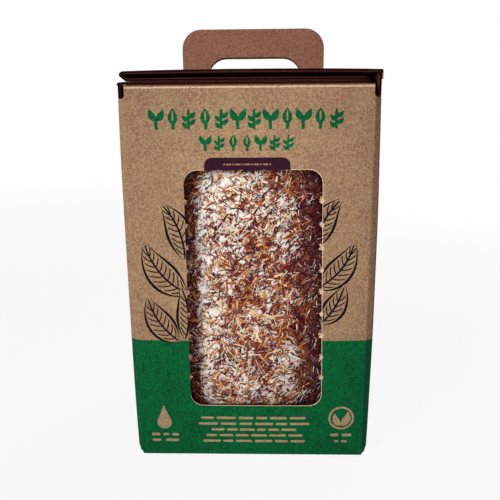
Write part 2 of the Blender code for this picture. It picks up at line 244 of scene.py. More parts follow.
def make_board(name, place, blank, loops, across, finishes):
    """One board: printed outer liner, inner liner, and the flutes that show at its cut edges."""
    corners, faces, inks = blank
    count = len(corners)
    points, polygons, slots, first = [], [], [], 0
    pairs = np.concatenate([faces[:, [0, 1]], faces[:, [1, 2]], faces[:, [2, 0]]])
    known = {tuple(p) for p in pairs.tolist()}
    rim = sorted(p for p in known if (p[1], p[0]) not in known)
    for outer, inner, printed in ((half_board, half_board - LINER, True),
                                  (LINER - half_board, -half_board, False)):
        points += [place(corners, outer), place(corners, inner)]
        polygons += (faces + first).tolist()
        slots += inks.tolist() if printed else [RAW_AND_SHADED] * len(faces)
        polygons += (faces[:, ::-1] + first + count).tolist()
        slots += [RAW_AND_SHADED if printed else INNER_SHADED] * len(faces)
        polygons += [(b + first, a + first, a + first + count, b + first + count) for a, b in rim]
        slots += [RAW_AND_SHADED] * len(rim)
        first += 2 * count
    swing = half_board - LINER - FLUTE_PAPER / 2
    sheet = [(reach, 0.5) for reach in FLUTE_REACHES]
    sheet += [(reach, -0.5) for reach in FLUTE_REACHES[::-1]]
    for number, loop in enumerate(loops):
        edge, inward = edge_samples(loop, FLUTE_STEP, number == 0)
        size = len(edge)
        for reach, paper_side in sheet:
            spot = edge + inward * reach
            wave = swing * np.sin(2 * math.pi * spot[:, across] / FLUTE_PITCH)
            points.append(place(spot, wave + paper_side * FLUTE_PAPER))
        after = np.roll(np.arange(size), -1).tolist()
        for row in range(len(sheet)):
            here, there = first + row * size, first + (row + 1) % len(sheet) * size
            polygons += [(here + i, here + j, there + j, there + i) for i, j in enumerate(after)]
        slots += [FLUTE_SHADED] * (len(sheet) * size)
        first += len(sheet) * size
    return new_piece(name, np.concatenate(points), polygons, slots, finishes)


def crushed_corner():
    """A corner of the carton: its scored crease is crushed to a narrow flat."""
    wall.bend(45, CORNER_ROUND, 4)
    wall.run(CORNER_FLAT, CORNER_STEP)
    wall.bend(45, CORNER_ROUND, 4)


turn = CORNER_ROUND + CORNER_FLAT * math.sqrt(0.5)
side_x, face_y = width / 2 - half_board, depth / 2 - half_board
inset = width / 2 - NOTCH_WIDTH
tab_y = face_y - BOARD - GAP
wall = Fold((-side_x + turn + GLUE_TAB, tab_y), 180)
wall.run(GLUE_TAB)
crushed_corner()
left_start = wall.length
wall.run(tab_y - turn + face_y - turn, SIDE_STEP)
left_end = wall.length
crushed_corner()
front_zero = wall.length + side_x - turn
wall.run(2 * (side_x - turn), FRONT_STEP)
crushed_corner()
right_start = wall.length
wall.run(2 * (face_y - turn), SIDE_STEP)
right_end = wall.length
crushed_corner()
back_zero = wall.length + side_x - turn
wall.run(2 * side_x - turn, BACK_STEP)


def rising(past, span):
    """0 before the place that past is measured from, 1 from span past it on, even between."""
    return np.clip(past / span, 0.0, 1.0)


def wall_place(corners, offset):
    """Carries blank corners onto the standing walls, bulged by the block that is packed in."""
    along, z = corners.T
    flat, out = wall.at(along)
    x, y = flat.T
    share = np.abs((z - height / 2) / (height / 2 - BULGE_MARGIN))
    swell = np.maximum(0.0, 1.0 - share ** BULGE_SQUARE)
    push_x = np.sign(x) * SIDE_BULGE * swell * np.maximum(0.0, 1.0 - (y / face_y) ** 2)
    reach = np.where(y < 0, FRONT_BULGE, BACK_BULGE)
    push_y = np.sign(y) * reach * swell * np.maximum(0.0, 1.0 - (x / side_x) ** 2)
    on_front = np.abs(along - front_zero) < inset + MERGE
    ridge = CREASE_RIDGE * rising(z - height + RIDGE_LOW, RIDGE_TALL) * on_front
    return np.stack([x + push_x + out[:, 0] * offset, y + push_y + out[:, 1] * offset,
                     z + ridge], 1)


fold_room = FOLD + half_board
left_top = left_flap_high.z - fold_room
right_top = right_flap_high.z - BOARD - GAP
foot_back, foot_side = fold_room + BOARD + GAP, fold_room + 2 * (BOARD + GAP)
panels = [
    (0.0, GLUE_TAB, TAB_SHORT, height - TAB_SHORT),
    (left_start, left_end, foot_side, left_top),
    (front_zero - inset, front_zero + inset, fold_room, height - fold_room),
    (right_start, right_end, foot_side, right_top),
    (back_zero - inset, back_zero + inset, foot_back, height - fold_room),
]
corners = []
for start, end, low, _ in panels:
    corners += [(start - FOOT_SLOPE, CORNER_FOOT, 0.0), (start - FOOT_SLOPE / 2, low, 0.0),
                (end + FOOT_SLOPE / 2, low, 0.0), (end + FOOT_SLOPE, CORNER_FOOT, 0.0)]
for start, end, _, high in reversed(panels):
    end_round = NOTCH_ROUND if end < back_zero else 0.0
    corners += [(end, height - NOTCH_DEPTH, end_round), (end, high, 0.0),
                (start, high, 0.0), (start, height - NOTCH_DEPTH, NOTCH_ROUND)]
# The glue tab's free end is cut straight, without slope or notch.
corners[0] = (0.0, *corners[0][1:])
corners[1] = (0.0, *corners[1][1:])
corners[-1] = (*corners[-1][:2], 0.0)
wall_outline = rounded(corners, 5)

# Window
# A die-cut opening in the front wall. Its perforated cover was torn out, which leaves a stub of
# board at every bridge of the line.
WINDOW_CENTRE, WINDOW_HALF, WINDOW_ROUND = 0.0032, 0.0466, 0.009
LEFT_LEAN, RIGHT_LEAN = 0.0003, 0.0023
WINDOW_FOOT, WINDOW_TOP = 0.0415, 0.2108
NIB_FIRST, NIB_PITCH, NIB_COUNT = 0.0637, 0.0158, 9
TOP_NIB_FIRST, TOP_NIB_PITCH, TOP_NIB_COUNT = -0.0202, 0.0147, 4
NIB_WIDTH, NIB_REACH, NIB_JITTER = 0.0030, 0.0013, 0.0004
TOP_NIB_REACH = NIB_REACH * 0.7


def window_edge(side, z):
    """Where the window's left (side -1) or right edge runs at a height."""
    share = (z - WINDOW_FOOT) / (WINDOW_TOP - WINDOW_FOOT)
    lean = LEFT_LEAN if side < 0 else RIGHT_LEAN
    return WINDOW_CENTRE + side * (WINDOW_HALF - lean * share)


nib_heights = NIB_FIRST + NIB_PITCH * np.arange(NIB_COUNT)
top_nibs = TOP_NIB_FIRST + TOP_NIB_PITCH * np.arange(TOP_NIB_COUNT)
rng = np.random.default_rng(5)
nib_rims = []
corners = [(window_edge(1, WINDOW_FOOT), WINDOW_FOOT, WINDOW_ROUND)]
for side, order in ((1, nib_heights), (-1, nib_heights[::-1])):
    for z in order + rng.normal(0, NIB_JITTER, NIB_COUNT):
        half = side * NIB_WIDTH * rng.uniform(0.38, 0.62)
        reach = NIB_REACH * rng.uniform(0.7, 1.4)
        edge = window_edge(side, z)
        corners += [(window_edge(side, z - half), z - half, 0.0),
                    (edge - side * reach, z - half * 0.45, 0.0),
                    (edge - side * reach * 0.7, z + half * 0.40, 0.0),
                    (window_edge(side, z + half), z + half, 0.0)]
        nib_rims.append((edge, z, (side, 0), reach))
    if side == 1:
        corners.append((window_edge(1, WINDOW_TOP), WINDOW_TOP, WINDOW_ROUND))
        for x in top_nibs[::-1]:
            corners += [(x + NIB_WIDTH / 2, WINDOW_TOP, 0.0), (x, WINDOW_TOP - TOP_NIB_REACH, 0.0),
                        (x - NIB_WIDTH / 2, WINDOW_TOP, 0.0)]
            nib_rims.append((x, WINDOW_TOP, (0, 1), TOP_NIB_REACH))
        corners.append((window_edge(-1, WINDOW_TOP), WINDOW_TOP, WINDOW_ROUND))
corners.append((window_edge(-1, WINDOW_FOOT), WINDOW_FOOT, WINDOW_ROUND))
window_hole = [(front_zero + x, z) for x, z in rounded(corners)]

# Printing
# Flat inks on the kraft liner: a green foot band, two rows of small plant figures, leaves drawn
# in dark line at both sides of the window, and on the band a drop, a ring and rows of bars.
BAND_TOP = 0.0915
prints = []


def ink(shape, colour, at=front_zero):
    """Adds a printed shape, given as x and z on a wall whose middle is at blank length at."""
    prints.append(([(at + x, z) for x, z in shape], colour))


def oblong(left, low, right, high):
    """Closed outline of an upright rectangle."""
    return [(left, low), (right, low), (right, high), (left, high)]


def soft_oblong(left, low, right, high, radii, steps=9):
    """The same with rounded corners; radii is one radius, or one for each corner in turn."""
    corners = zip(oblong(left, low, right, high), np.broadcast_to(radii, 4).tolist())
    return rounded([(*corner, radius) for corner, radius in corners], steps)


def unit(vectors):
    return vectors / np.linalg.norm(vectors, axis=-1)[..., None]


def sides_of(line):
    """Unit vectors to the left of a line of points."""
    way = unit(np.gradient(line, axis=0))
    return np.stack([-way[:, 1], way[:, 0]], 1)


def stroke(points, thick, ends=0.35):
    """Outline of a pen line through the points, thinner towards its ends."""
    line = np.array(points)
    share = np.linspace(0, 1, len(line))
    half = thick / 2 * (ends + (1 - ends) * np.sin(math.pi * share) ** 0.5)[:, None]
    side = sides_of(line) * half
    return np.concatenate([line + side, (line - side)[::-1]]).tolist()


def bowed(start, end, bow, count=12):
    """Points along a bowed line from start to end; bow is its height as a share of its length."""
    start, end = np.array(start), np.array(end)
    t = np.linspace(0, 1, count)[:, None]
    reach = end - start
    side = np.array([-reach[1], reach[0]])
    return start + reach * t + side * bow * 4 * t * (1 - t)


def leaf_sides(base, tip, plump, bow, count):
    """Middle line of a leaf, and the vectors from it to its left margin."""
    spine = bowed(base, tip, bow, count)
    t = np.linspace(0, 1, count)
    half = math.dist(base, tip) * plump / 2 * np.sin(math.pi * t ** 0.8) ** 0.9
    return spine, sides_of(spine) * half[:, None]


def leaf_shape(base, tip, plump, bow=0.0, count=14):
    """Closed leaf outline from base to tip; plump is its width as a share of its length."""
    spine, side = leaf_sides(base, tip, plump, bow, count)
    return np.concatenate([spine + side, (spine - side)[::-1][1:-1]]).tolist()


def dashes(left, right, z, thick, longs, colour, at=front_zero):
    """Row of round-ended bars of the given lengths, shared out evenly between left and right."""
    free = (right - left - sum(longs)) / max(1, len(longs) - 1)
    start = left
    for long in longs:
        half, x = long / 2, start + long / 2
        ink(soft_oblong(x - half, z - thick / 2, x + half, z + thick / 2, thick / 2 * 0.98, 3),
            colour, at)
        start += long + free


LINE = 0.0019
MIDRIB, SIDE_VEIN = LINE * 0.75, LINE * 0.48
STATION = 0.0008
VEIN_FIRST, VEIN_STEP, VEIN_RUN, VEIN_REACH = 4, 5, 7, 0.86


def veined_leaf(base, tip, plump, bow, at=front_zero):
    """A broad leaf drawn in line: outline, midrib and side veins, over what is behind it."""
    size = math.dist(base, tip)
    inner = plump - 2 * LINE / size
    ink(leaf_shape(base, tip, plump, bow, 22), BLACK, at)
    ink(leaf_shape(base, tip, inner, bow, 22), KRAFT, at)
    stations = round(size / STATION)
    spine, side = leaf_sides(base, tip, inner, bow, stations)
    ink(stroke(spine[1:-3], MIDRIB, 0.6), BLACK, at)
    for start in range(VEIN_FIRST, stations - VEIN_RUN - VEIN_STEP, VEIN_STEP):
        for way in (-1, 1):
            end = spine[start + VEIN_RUN] + way * side[start + VEIN_RUN] * VEIN_REACH
            ink(stroke(bowed(spine[start], end, 0.07 * way, 5), SIDE_VEIN, 0.7), BLACK, at)


band_half = right_start - front_zero
ink(oblong(-band_half, 0.0, band_half, BAND_TOP), GREEN)

for base, tip, plump, bow in (
        ((-0.0440, 0.150), (-0.0590, 0.189), 0.46, -0.10),
        ((-0.0430, 0.126), (-0.0715, 0.163), 0.46, 0.12),
        ((-0.0460, 0.092), (-0.0480, 0.132), 0.44, -0.10),
        ((-0.0500, 0.091), (-0.0710, 0.124), 0.50, 0.10),
        ((0.0440, 0.158), (0.0610, 0.192), 0.46, 0.10),
        ((0.0450, 0.130), (0.0700, 0.163), 0.46, -0.12),
        ((0.0480, 0.104), (0.0640, 0.133), 0.50, -0.08)):
    veined_leaf(base, tip, plump, bow)


def sprout(x, z, tall, kind):
    """One of three small plant figures, standing on z."""
    def stem(low, high, bow, thick, ends, colour=GREEN, count=12):
        line = bowed((x, z + tall * low), (x, z + tall * high), bow, count)
        ink(stroke(line, tall * 0.17 * thick, ends), colour)

    def leaf(low, side, high, plump, bow=0.0):
        ink(leaf_shape((x, z + tall * low), (x + side * tall, z + tall * high), plump, bow), GREEN)

    if kind == 0:
        stem(0, 0.62, 0.05, 1.0, 0.9)
        for side in (-1, 1):
            leaf(0.42, side * 0.34, 0.98, 0.52, -0.10 * side)
    elif kind == 1:
        leaf(0.22, 0.0, 1.0, 0.62)
        stem(0, 0.60, -0.04, 1.0, 0.9)
        stem(0.42, 0.86, 0.0, 0.45, 0.6, KRAFT, 8)
    else:
        stem(0, 0.95, 0.03, 0.9, 0.6)
        for side, low in ((-1, 0.10), (1, 0.26), (-1, 0.42), (1, 0.58)):
            leaf(low, side * 0.32, low + 0.26, 0.56, -0.12 * side)


for left, right, z, tall, count, order in ((-0.0645, 0.0610, 0.2370, 0.0133, 12, 1),
                                           (-0.0325, 0.0297, 0.2232, 0.0104, 7, 2)):
    for k in range(count):
        sprout(left + (right - left) / count * (k + 0.5), z, tall, (k * order + k // 3) % 3)

# A thin pale line along the window's cut edge: partly crushed liner, partly a painted highlight
# where the edge catches the light.
RIM = 0.0004
ink(rounded([(window_edge(side, z) + max(side, 0) * RIM, z + rise * RIM, WINDOW_ROUND)
             for side, z, rise in ((1, WINDOW_FOOT, -1), (1, WINDOW_TOP, 1),
                                   (-1, WINDOW_TOP, 1), (-1, WINDOW_FOOT, -1))]), PALE_OR_HIGHLIGHT)
TAB_LEFT, TAB_RIGHT, TAB_TOP, TAB_ROUND, TAB_LAP = -0.0294, 0.0266, 0.2190, 0.0050, 0.003
ink(soft_oblong(TAB_LEFT, WINDOW_TOP - TAB_LAP, TAB_RIGHT, TAB_TOP,
                (0.0, 0.0, TAB_ROUND, TAB_ROUND)), AUBERGINE)
dashes(-0.0170, 0.0142, 0.2146, 0.0011, [0.0013, 0.0036] * 5 + [0.0013], DULL_OR_SHADED)

# The liner is peeled off round each torn stub. The paper under it is painted pale on the right, as
# lit by the key light, and dull on the left and at the top, as in shade.
for x, z, (out_x, out_z), reach in nib_rims:
    torn = reach * 0.9 if out_x > 0 else reach * 0.3
    peel = [(x + out_z * 0.0016, z + out_x * 0.0018),
            (x + out_x * torn + out_z * 0.0006, z + out_z * torn + out_x * 0.0008),
            (x + out_x * torn * 0.7 - out_z * 0.0008, z + out_z * torn * 0.7 - out_x * 0.0010),
            (x - out_z * 0.0016, z - out_x * 0.0020),
            (x - out_x * reach * 0.8, z - out_z * reach * 0.8 - out_x * 0.0002)]
    ink(peel, PALE_OR_HIGHLIGHT if out_x > 0 else DULL_OR_SHADED)

DROP_X, DROP_FOOT, DROP_TOP, DROP_ROUND, DROP_SWEEP = -0.0634, 0.0219, 0.0406, 0.0053, 2.2
drop = [(DROP_X + DROP_ROUND * math.sin(a), DROP_FOOT + DROP_ROUND * (1 - math.cos(a)))
        for a in np.linspace(-DROP_SWEEP, DROP_SWEEP, 21)]
ink(drop + [(DROP_X, DROP_TOP)], BARE)
dashes(-0.0732, -0.0532, 0.0171, 0.0021, [0.0062, 0.0044, 0.0052], BARE)
dashes(-0.0730, -0.0534, 0.0124, 0.0021, [0.0064, 0.0096], BARE)
BARS_TOP, BARS_PITCH, BARS_THICK, BARS_IN_ROW, BARS_SHARE = 0.0312, 0.0048, 0.0019, 6, 0.88
for row, (left, right) in enumerate(((-0.0367, 0.0391), (-0.0384, 0.0417), (-0.0294, 0.0323),
                                     (-0.0333, 0.0368), (-0.0355, 0.0387))):
    longs = rng.uniform(0.6, 1.4, BARS_IN_ROW)
    longs = (longs * (right - left) * BARS_SHARE / longs.sum()).tolist()
    dashes(left, right, BARS_TOP - BARS_PITCH * row, BARS_THICK, longs, BARE)
RING_X, RING_Z, RING_ROUND = 0.0645, 0.0312, 0.0092
circle = np.linspace(0, 2 * math.pi, 40, endpoint=False)
for share, colour in ((1.0, BARE), (0.84, GREEN)):
    ink([(RING_X + RING_ROUND * share * math.cos(a), RING_Z + RING_ROUND * share * math.sin(a))
         for a in circle], colour)
for side in (-1, 1):
    tip = (RING_X + side * 0.0046, RING_Z + 0.0044 + side * 0.0008)
    ink(leaf_shape((RING_X, RING_Z - 0.0060), tip, 0.46, -0.14 * side), BARE)
dashes(0.0570, 0.0722, 0.0174, 0.0023, [0.0060, 0.0070], BARE)
dashes(0.0600, 0.0692, 0.0122, 0.0017, [0.0030, 0.0044], BARE)

# Green panels on the side walls, each with three leaves and rows of bars beside them.
SIDE_LOW, SIDE_HIGH, SIDE_HALF = 0.057, 0.71 * height, face_y - turn
SIDE_SET_BACK = 0.004
SIDE_ROW_FIRST, SIDE_ROW_PITCH, SIDE_BAR_PITCH, SIDE_BAR_THICK = 0.022, 0.040, 0.0058, 0.0014
for middle, front_edge in (((left_start + left_end) / 2, SIDE_HALF - SIDE_SET_BACK),
                           ((right_start + right_end) / 2, SIDE_HALF)):
    ink(oblong(-SIDE_HALF, SIDE_LOW, front_edge, SIDE_HIGH), GREEN, middle)
    for row in range(3):
        z = SIDE_HIGH - SIDE_ROW_FIRST - SIDE_ROW_PITCH * row
        ink(leaf_shape((-0.040, z - 0.010), (-0.026, z + 0.009), 0.45, -0.1), BARE, middle)
        for line in range(4):
            dashes(-0.016, 0.040 - rng.uniform(0, 0.006), z + 0.009 - SIDE_BAR_PITCH * line,
                   SIDE_BAR_THICK, rng.uniform(0.004, 0.011, 5).tolist(), BARE, middle)

# The green band runs on round the back, with four leaves standing on it.
ink(oblong(right_end - back_zero, 0.0, wall.length - back_zero, BAND_TOP), GREEN, back_zero)
for lean, tall in ((-0.030, 0.070), (0.034, 0.064), (-0.012, 0.096), (0.012, 0.088)):
    base, tip = (lean * 0.25, BAND_TOP + 0.001), (lean, BAND_TOP + tall)
    veined_leaf(base, tip, 0.30, -lean * 3, back_zero)


def screen(red, green, blue):
    """Linear colour of an 8-bit screen colour."""
    return tuple(((c / 255 + 0.055) / 1.055) ** 2.4 if c > 10 else c / 255 / 12.92
                 for c in (red, green, blue))


class Wire:
    """A value among the nodes. Arithmetic on it adds Math nodes."""

    def __init__(self, nodes, socket):
        self.nodes = nodes
        self.socket = socket

    def __add__(self, other):
        return self.nodes.maths("ADD", self, other)

    def __sub__(self, other):
        return self.nodes.maths("SUBTRACT", self, other)

    def __rsub__(self, other):
        return self.nodes.maths("SUBTRACT", other, self)

    def __mul__(self, other):
        return self.nodes.maths("MULTIPLY", self, other)

    __radd__ = __add__
    __rmul__ = __mul__


class Nodes:
    """The nodes of one finish or of the world, and what it ends in."""

    def __init__(self, tree, end):
        self.tree = tree
        self.surface = tree.nodes[end].inputs["Surface"]

    def join(self, socket, value):
        if isinstance(value, Wire):
            self.tree.links.new(value.socket, socket)
        else:
            socket.default_value = value

    def node(self, kind, settings, sockets, output=0):
        """A node's output, once its settings are made and its sockets have values or links."""
        made = self.tree.nodes.new("ShaderNode" + kind)
        for key, value in settings.items():
            if key == "stops":
                ramp = made.color_ramp.elements
                while len(ramp) < len(value):
                    ramp.new(0.5)
                for element, (place, colour) in zip(ramp, value):
                    element.position = place
                    element.color = (*colour, 1.0)
            else:
                setattr(made, key, value)
        for key, value in sockets.items():
            self.join(made.inputs[key], value)
        return Wire(self, made.outputs[output])

    def maths(self, operation, first, second=0.0):
        return self.node("Math", {"operation": operation}, {0: first, 1: second})

    def end_in(self, share, first, second):
        """Ends in two shaders mixed: the first where share is 0, the second where it is 1."""
        self.join(self.surface, self.node("MixShader", {}, {0: share, 1: first, 2: second}))


class Finish(Nodes):
    """A surface finish: one Principled shader and the nodes that vary it over the piece."""

    def __init__(self, name, **sockets):
        self.material = bpy.data.materials.new(name)
        self.material.use_nodes = True
        super().__init__(self.material.node_tree, "Material Output")
        self.shader = self.tree.nodes["Principled BSDF"]
        self.shaded = Wire(self, self.shader.outputs[0])
        for socket, value in sockets.items():
            self.set(socket.replace("_", " "), value)

    def set(self, socket, value):
        self.join(self.shader.inputs[socket], value)

    def place(self, stretch=(1.0, 1.0, 1.0)):
        """Where a point is on the piece, in metres, drawn out by stretch."""
        point = self.node("TexCoord", {}, {}, "Object")
        return self.node("VectorMath", {"operation": "MULTIPLY"}, {0: point, 1: stretch})

    def noise(self, size, detail=2.0, roughness=0.5, stretch=(1.0, 1.0, 1.0), warp=0.0):
        """Soft random values between 0 and 1, with features of the given size in metres."""
        return self.node("TexNoise", {}, {"Vector": self.place(stretch), "Scale": 1.0 / size,
                                          "Detail": detail, "Roughness": roughness,
                                          "Distortion": warp})

    def window(self, value, low, high):
        """0 below low, 1 above high and smooth between."""
        return self.node("MapRange", {"interpolation_type": "SMOOTHSTEP"},
                         {"Value": value, "From Min": low, "From Max": high})

    def mix(self, factor, first, second):
        first, second = (c if isinstance(c, Wire) else (*c, 1.0) for c in (first, second))
        return self.node("Mix", {"data_type": "RGBA"}, {0: factor, 6: first, 7: second}, 2)

    def ramp(self, factor, *stops):
        """Colours along a factor: a place and an 8-bit screen colour for each stop."""
        stops = [(place, screen(*colour)) for place, *colour in stops]
        return self.node("ValToRGB", {"stops": stops}, {0: factor})

    def stored(self, name):
        """A number kept on the piece's own corners."""
        return self.node("Attribute", {"attribute_name": name}, {}, "Fac")

    def bump(self, heights, distance, strength=1.0):
        self.set("Normal", self.node("Bump", {}, {"Height": heights, "Distance": distance,
                                                  "Strength": strength}))


def paper(name, colour, grain, worn_to=None, roughness=0.85):
    """Kraft paper, or ink on it: long fibres, cloudy tone and a few dark flecks."""
    colour = screen(*colour)
    finish = Finish(name, Roughness=roughness, Specular_IOR_Level=0.12)
    level = finish.noise(0.0010, 3.0, 0.65, (0.55, 0.55, 1.0), 0.6)
    upright = finish.noise(0.0009, 3.0, 0.65, (1.0, 1.0, 0.55), 0.6)
    grains = finish.noise(0.0010, 3.0, 0.7)
    clouds = finish.noise(0.016, 3.0, 0.6)
    tone = (level + upright + grains - 1.5) * 2.8 + (clouds - 0.5) * 0.9 + 0.5
    shares = (1.5, 2.5, 2.0)
    dark, light = (tuple(c * (1 + way * grain * share) for c, share in zip(colour, shares))
                   for way in (-1, 1))
    base = finish.mix(tone, dark, light)
    if worn_to:
        worn = finish.window(level * 0.5 + grains * 0.5, 0.60, 0.72)
        base = finish.mix(worn * 0.35, base, screen(*worn_to))
    flecks = finish.window(finish.noise(0.0016, 0.0), 0.735, 0.77)
    fleck_colour = tuple(c * 0.25 for c in colour)
    finish.set("Base Color", finish.mix(flecks * 0.45, base, fleck_colour))
    finish.bump(level * 0.5 + upright * 0.5 + clouds * 0.8, 0.00014, 0.7)
    return finish.material


# The cut edges, the flute paper and the inner liner are coloured darker than kraft. This is partly
# their own colour and partly painted shade: in the gaps between the flaps, at the board's edges and
# inside the carton.
board_finishes = [
    paper("kraft_liner", (164, 132, 100), 0.15),
    paper("green_ink", (2, 96, 50), 0.18, (20, 102, 57), 0.75),
    paper("dark_ink", (20, 8, 22), 0.08, (60, 40, 42), 0.75),
    paper("aubergine_ink", (48, 14, 34), 0.10, (72, 38, 50), 0.75),
    paper("bare_print", (175, 148, 116), 0.10),
    paper("raw_edge_shaded", (90, 40, 36), 0.12),
    paper("flute_paper_shaded", (36, 14, 16), 0.12),
    paper("dull_liner_or_shaded", (156, 111, 90), 0.13),
    paper("pressed_liner_or_highlight", (226, 196, 158), 0.08),
    paper("inner_liner_shaded", (112, 74, 60), 0.12),
]

rows = np.arange(ROW_FIRST, height, ROW_STEP).tolist()
wall_blank = cut_blank(wall_outline, [window_hole], wall.lines, rows, prints)
walls = make_board("carton_walls_board", wall_place, wall_blank, [wall_outline, window_hole], 0,
                   board_finishes)
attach(walls, "carton")
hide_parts("carton_walls")

# Handle
# The top flaps of the front and back walls fold in, meet at mid-depth and rise together.
# Both are cut with the same finger slot, and nothing but the cover flaps holds them together.
HANDLE_LEFT, HANDLE_RIGHT, HANDLE_ROUND = -0.0490, 0.0520, 0.0135
SLOT_LEFT, SLOT_RIGHT, SLOT_ROUND = -0.0306, 0.0355, 0.0130
SLOT_FOOT, SLOT_TOP, SLOT_SLIP = 0.0054, 0.0185, 0.0012
NECK_BACK, NECK_ROUND, SMALL_ROUND = 0.004, 0.006, 0.002
RIDGE_RUN, CREASE_HIGHLIGHT_RUN = 0.007, 0.0006
HANDLE_STEP, FLAP_STEP = 0.008, 0.02


def flap_place(fold, plane, outside):
    """Placer for a flap that is folded along its blank's first direction."""
    def place(corners, offset):
        along, out = fold.at(corners[:, 0])
        return np.stack(plane(along[:, 0] + out[:, 0] * offset * outside, corners[:, 1],
                              along[:, 1] + out[:, 1] * offset * outside), 1)
    return place


def make_flap(name, node, body, fold, outline, holes, plane, outside=1, prints=()):
    """A flap whose flutes run the way it folds; outside is 1 where its print is on its right."""
    half = max(abs(v) for _, v in outline)
    rows = np.arange(-half, half, FLAP_STEP).tolist()
    blank = cut_blank(outline, holes, fold.lines, rows, prints)
    piece = make_board(name, flap_place(fold, plane, outside), blank, [outline] + holes, 1,
                       board_finishes)
    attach(piece, body)
    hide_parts(node)


def ridge_at(a, side):
    """How far the front panel's crease stands up above its flap."""
    return CREASE_RIDGE * (1.0 - rising(a + face_y, RIDGE_RUN)) * (side < 0)


for name, side in (("front", -1), ("back", 1)):
    fold = Fold((-face_y, height - FOLD - half_board), 90)
    fold.bend(-90, FOLD)
    fold.run(face_y - GAP / 2 - half_board - 2 * FOLD)
    rise = fold.length
    fold.bend(90, FOLD)
    level = fold.length - (FOLD - half_board)
    fold.run(handle_high.z - height - FOLD + half_board, HANDLE_STEP)
    top, neck = fold.length, rise - NECK_BACK
    outline = rounded([
        (0.0, -inset, 0.0), (neck, -inset, NECK_ROUND), (neck, HANDLE_LEFT, SMALL_ROUND),
        (top, HANDLE_LEFT, HANDLE_ROUND), (top, HANDLE_RIGHT, HANDLE_ROUND),
        (neck, HANDLE_RIGHT, SMALL_ROUND), (neck, inset, NECK_ROUND), (0.0, inset, 0.0)])
    foot_at, top_at = level + SLOT_FOOT, level + (SLOT_TOP if side < 0 else SLOT_TOP - SLOT_SLIP)
    grip = soft_oblong(foot_at, SLOT_LEFT, top_at, SLOT_RIGHT,
                       (SMALL_ROUND, SLOT_ROUND, SLOT_ROUND, SMALL_ROUND))
    # The upright handle is printed duller and redder than the front wall: painted shade.
    make_flap(f"handle_{name}_board", f"handle_flap_{name}", "carton", fold, outline, [grip],
              lambda a, x, z, side=side: (x, -side * a, z + ridge_at(a, side)), -1,
              [(oblong(rise, -width, 2 * top, width), DULL_OR_SHADED),
               # The pale strip at the crease is a painted highlight on the bend, partly stretched
               # liner.
               (oblong(-0.01, -width, CREASE_HIGHLIGHT_RUN, width), PALE_OR_HIGHLIGHT)])

# Cover flaps
# Folded over from the side walls onto the handle's foot, each with a slot for the handle.
# The right one lies on top and its end is folded back under it; it is the one that opens.
TONGUE_TURN = 0.00215
FLAP_INSET, FLAP_ROUND, FLAP_BOW = 0.0015, 0.005, 0.0005
FLAP_END, TONGUE_END = 0.078, 0.0765
SLOT_WIDTH, SLOT_PLAY = 0.0064, 0.0035
cover_half = depth / 2 - FLAP_INSET


def cover_outline(length):
    """Outline of a cover flap, rounded at its free end."""
    return soft_oblong(0.0, -cover_half, length, cover_half, (0.0, FLAP_ROUND, FLAP_ROUND, 0.0), 4)


def handle_slot(zero, way):
    """Slot for the handle. Its x starts at length zero of the blank, and way -1 turns it round."""
    half = SLOT_WIDTH / 2
    low, high = sorted((zero + way * HANDLE_LEFT - way * SLOT_PLAY,
                        zero + way * HANDLE_RIGHT + way * SLOT_PLAY))
    return soft_oblong(low, -half, high, half, SMALL_ROUND, 3)


def bowed_up(y):
    """The lower cover flap and the tongue on it bow up a little across their middle."""
    return FLAP_BOW * (1 - (y / cover_half) ** 2)


fold = Fold((-side_x, left_flap_high.z - FOLD - half_board), 90)
fold.bend(-90, FOLD)
zero = fold.length + side_x - FOLD
fold.run(side_x - FOLD + FLAP_END, FLAP_STEP)
make_flap("cover_left_board", "cover_flap_left", "carton", fold, cover_outline(fold.length),
          [handle_slot(zero, 1)], lambda a, y, z: (a, y, z + bowed_up(y)), -1)

# The upper flap's end is bent round in a beak: a soft lead, the sharp turn, and a soft rise.
BEAK_LEAD, BEAK_RISE = 20, 38
BEAK_SOFT, BEAK_RUN, BEAK_ROOM = 0.0020, 0.0010, 0.0030
TOP_DIP, TOP_ARCH, DIP_RUN = 0.0028, 0.0012, 0.010
CREASE_RUN, CREASE_STEP = 0.015, 0.0025
crease_x = width / 2
reach = crease_x - right_flap_low.x - BEAK_ROOM


def dipped(a, y, z):
    """The top layer sags onto the tongue at mid-depth and stands a little open at its rims."""
    layer = rising(z - (right_flap_high.z - half_board - 2 * TONGUE_TURN), 2 * TONGUE_TURN)
    open_rim = TOP_ARCH * np.sin(math.pi * rising(crease_x - a, width)) ** 0.5
    sag = (TOP_DIP + TOP_ARCH) * rising(crease_x - a, DIP_RUN) * (1 - (y / cover_half) ** 2)
    return a, y, z + layer * (open_rim - sag) + (1 - layer) * bowed_up(y)


fold = Fold((crease_x, right_flap_high.z - half_board), 180)
fold.run(CREASE_RUN, CREASE_STEP)
fold.run(reach - CREASE_RUN, FLAP_STEP)
fold.bend(BEAK_LEAD, BEAK_SOFT)
fold.run(BEAK_RUN)
fold.bend(180 - BEAK_LEAD - BEAK_RISE, half_board, 10)
drop = 2 * TONGUE_TURN - (right_flap_high.z - half_board - fold.point[1])
soft_drop = BEAK_SOFT * (1 - math.cos(math.radians(BEAK_RISE)))
fold.run((drop - soft_drop) / math.sin(math.radians(BEAK_RISE)))
fold.bend(BEAK_RISE, BEAK_SOFT)
turn_x = fold.point[0]
under = fold.length - turn_x
fold.run(TONGUE_END - turn_x, FLAP_STEP)
make_flap("cover_right_board", "cover_flap_right", "cover", fold, cover_outline(fold.length),
          [handle_slot(crease_x, -1), handle_slot(under, 1)], dipped)

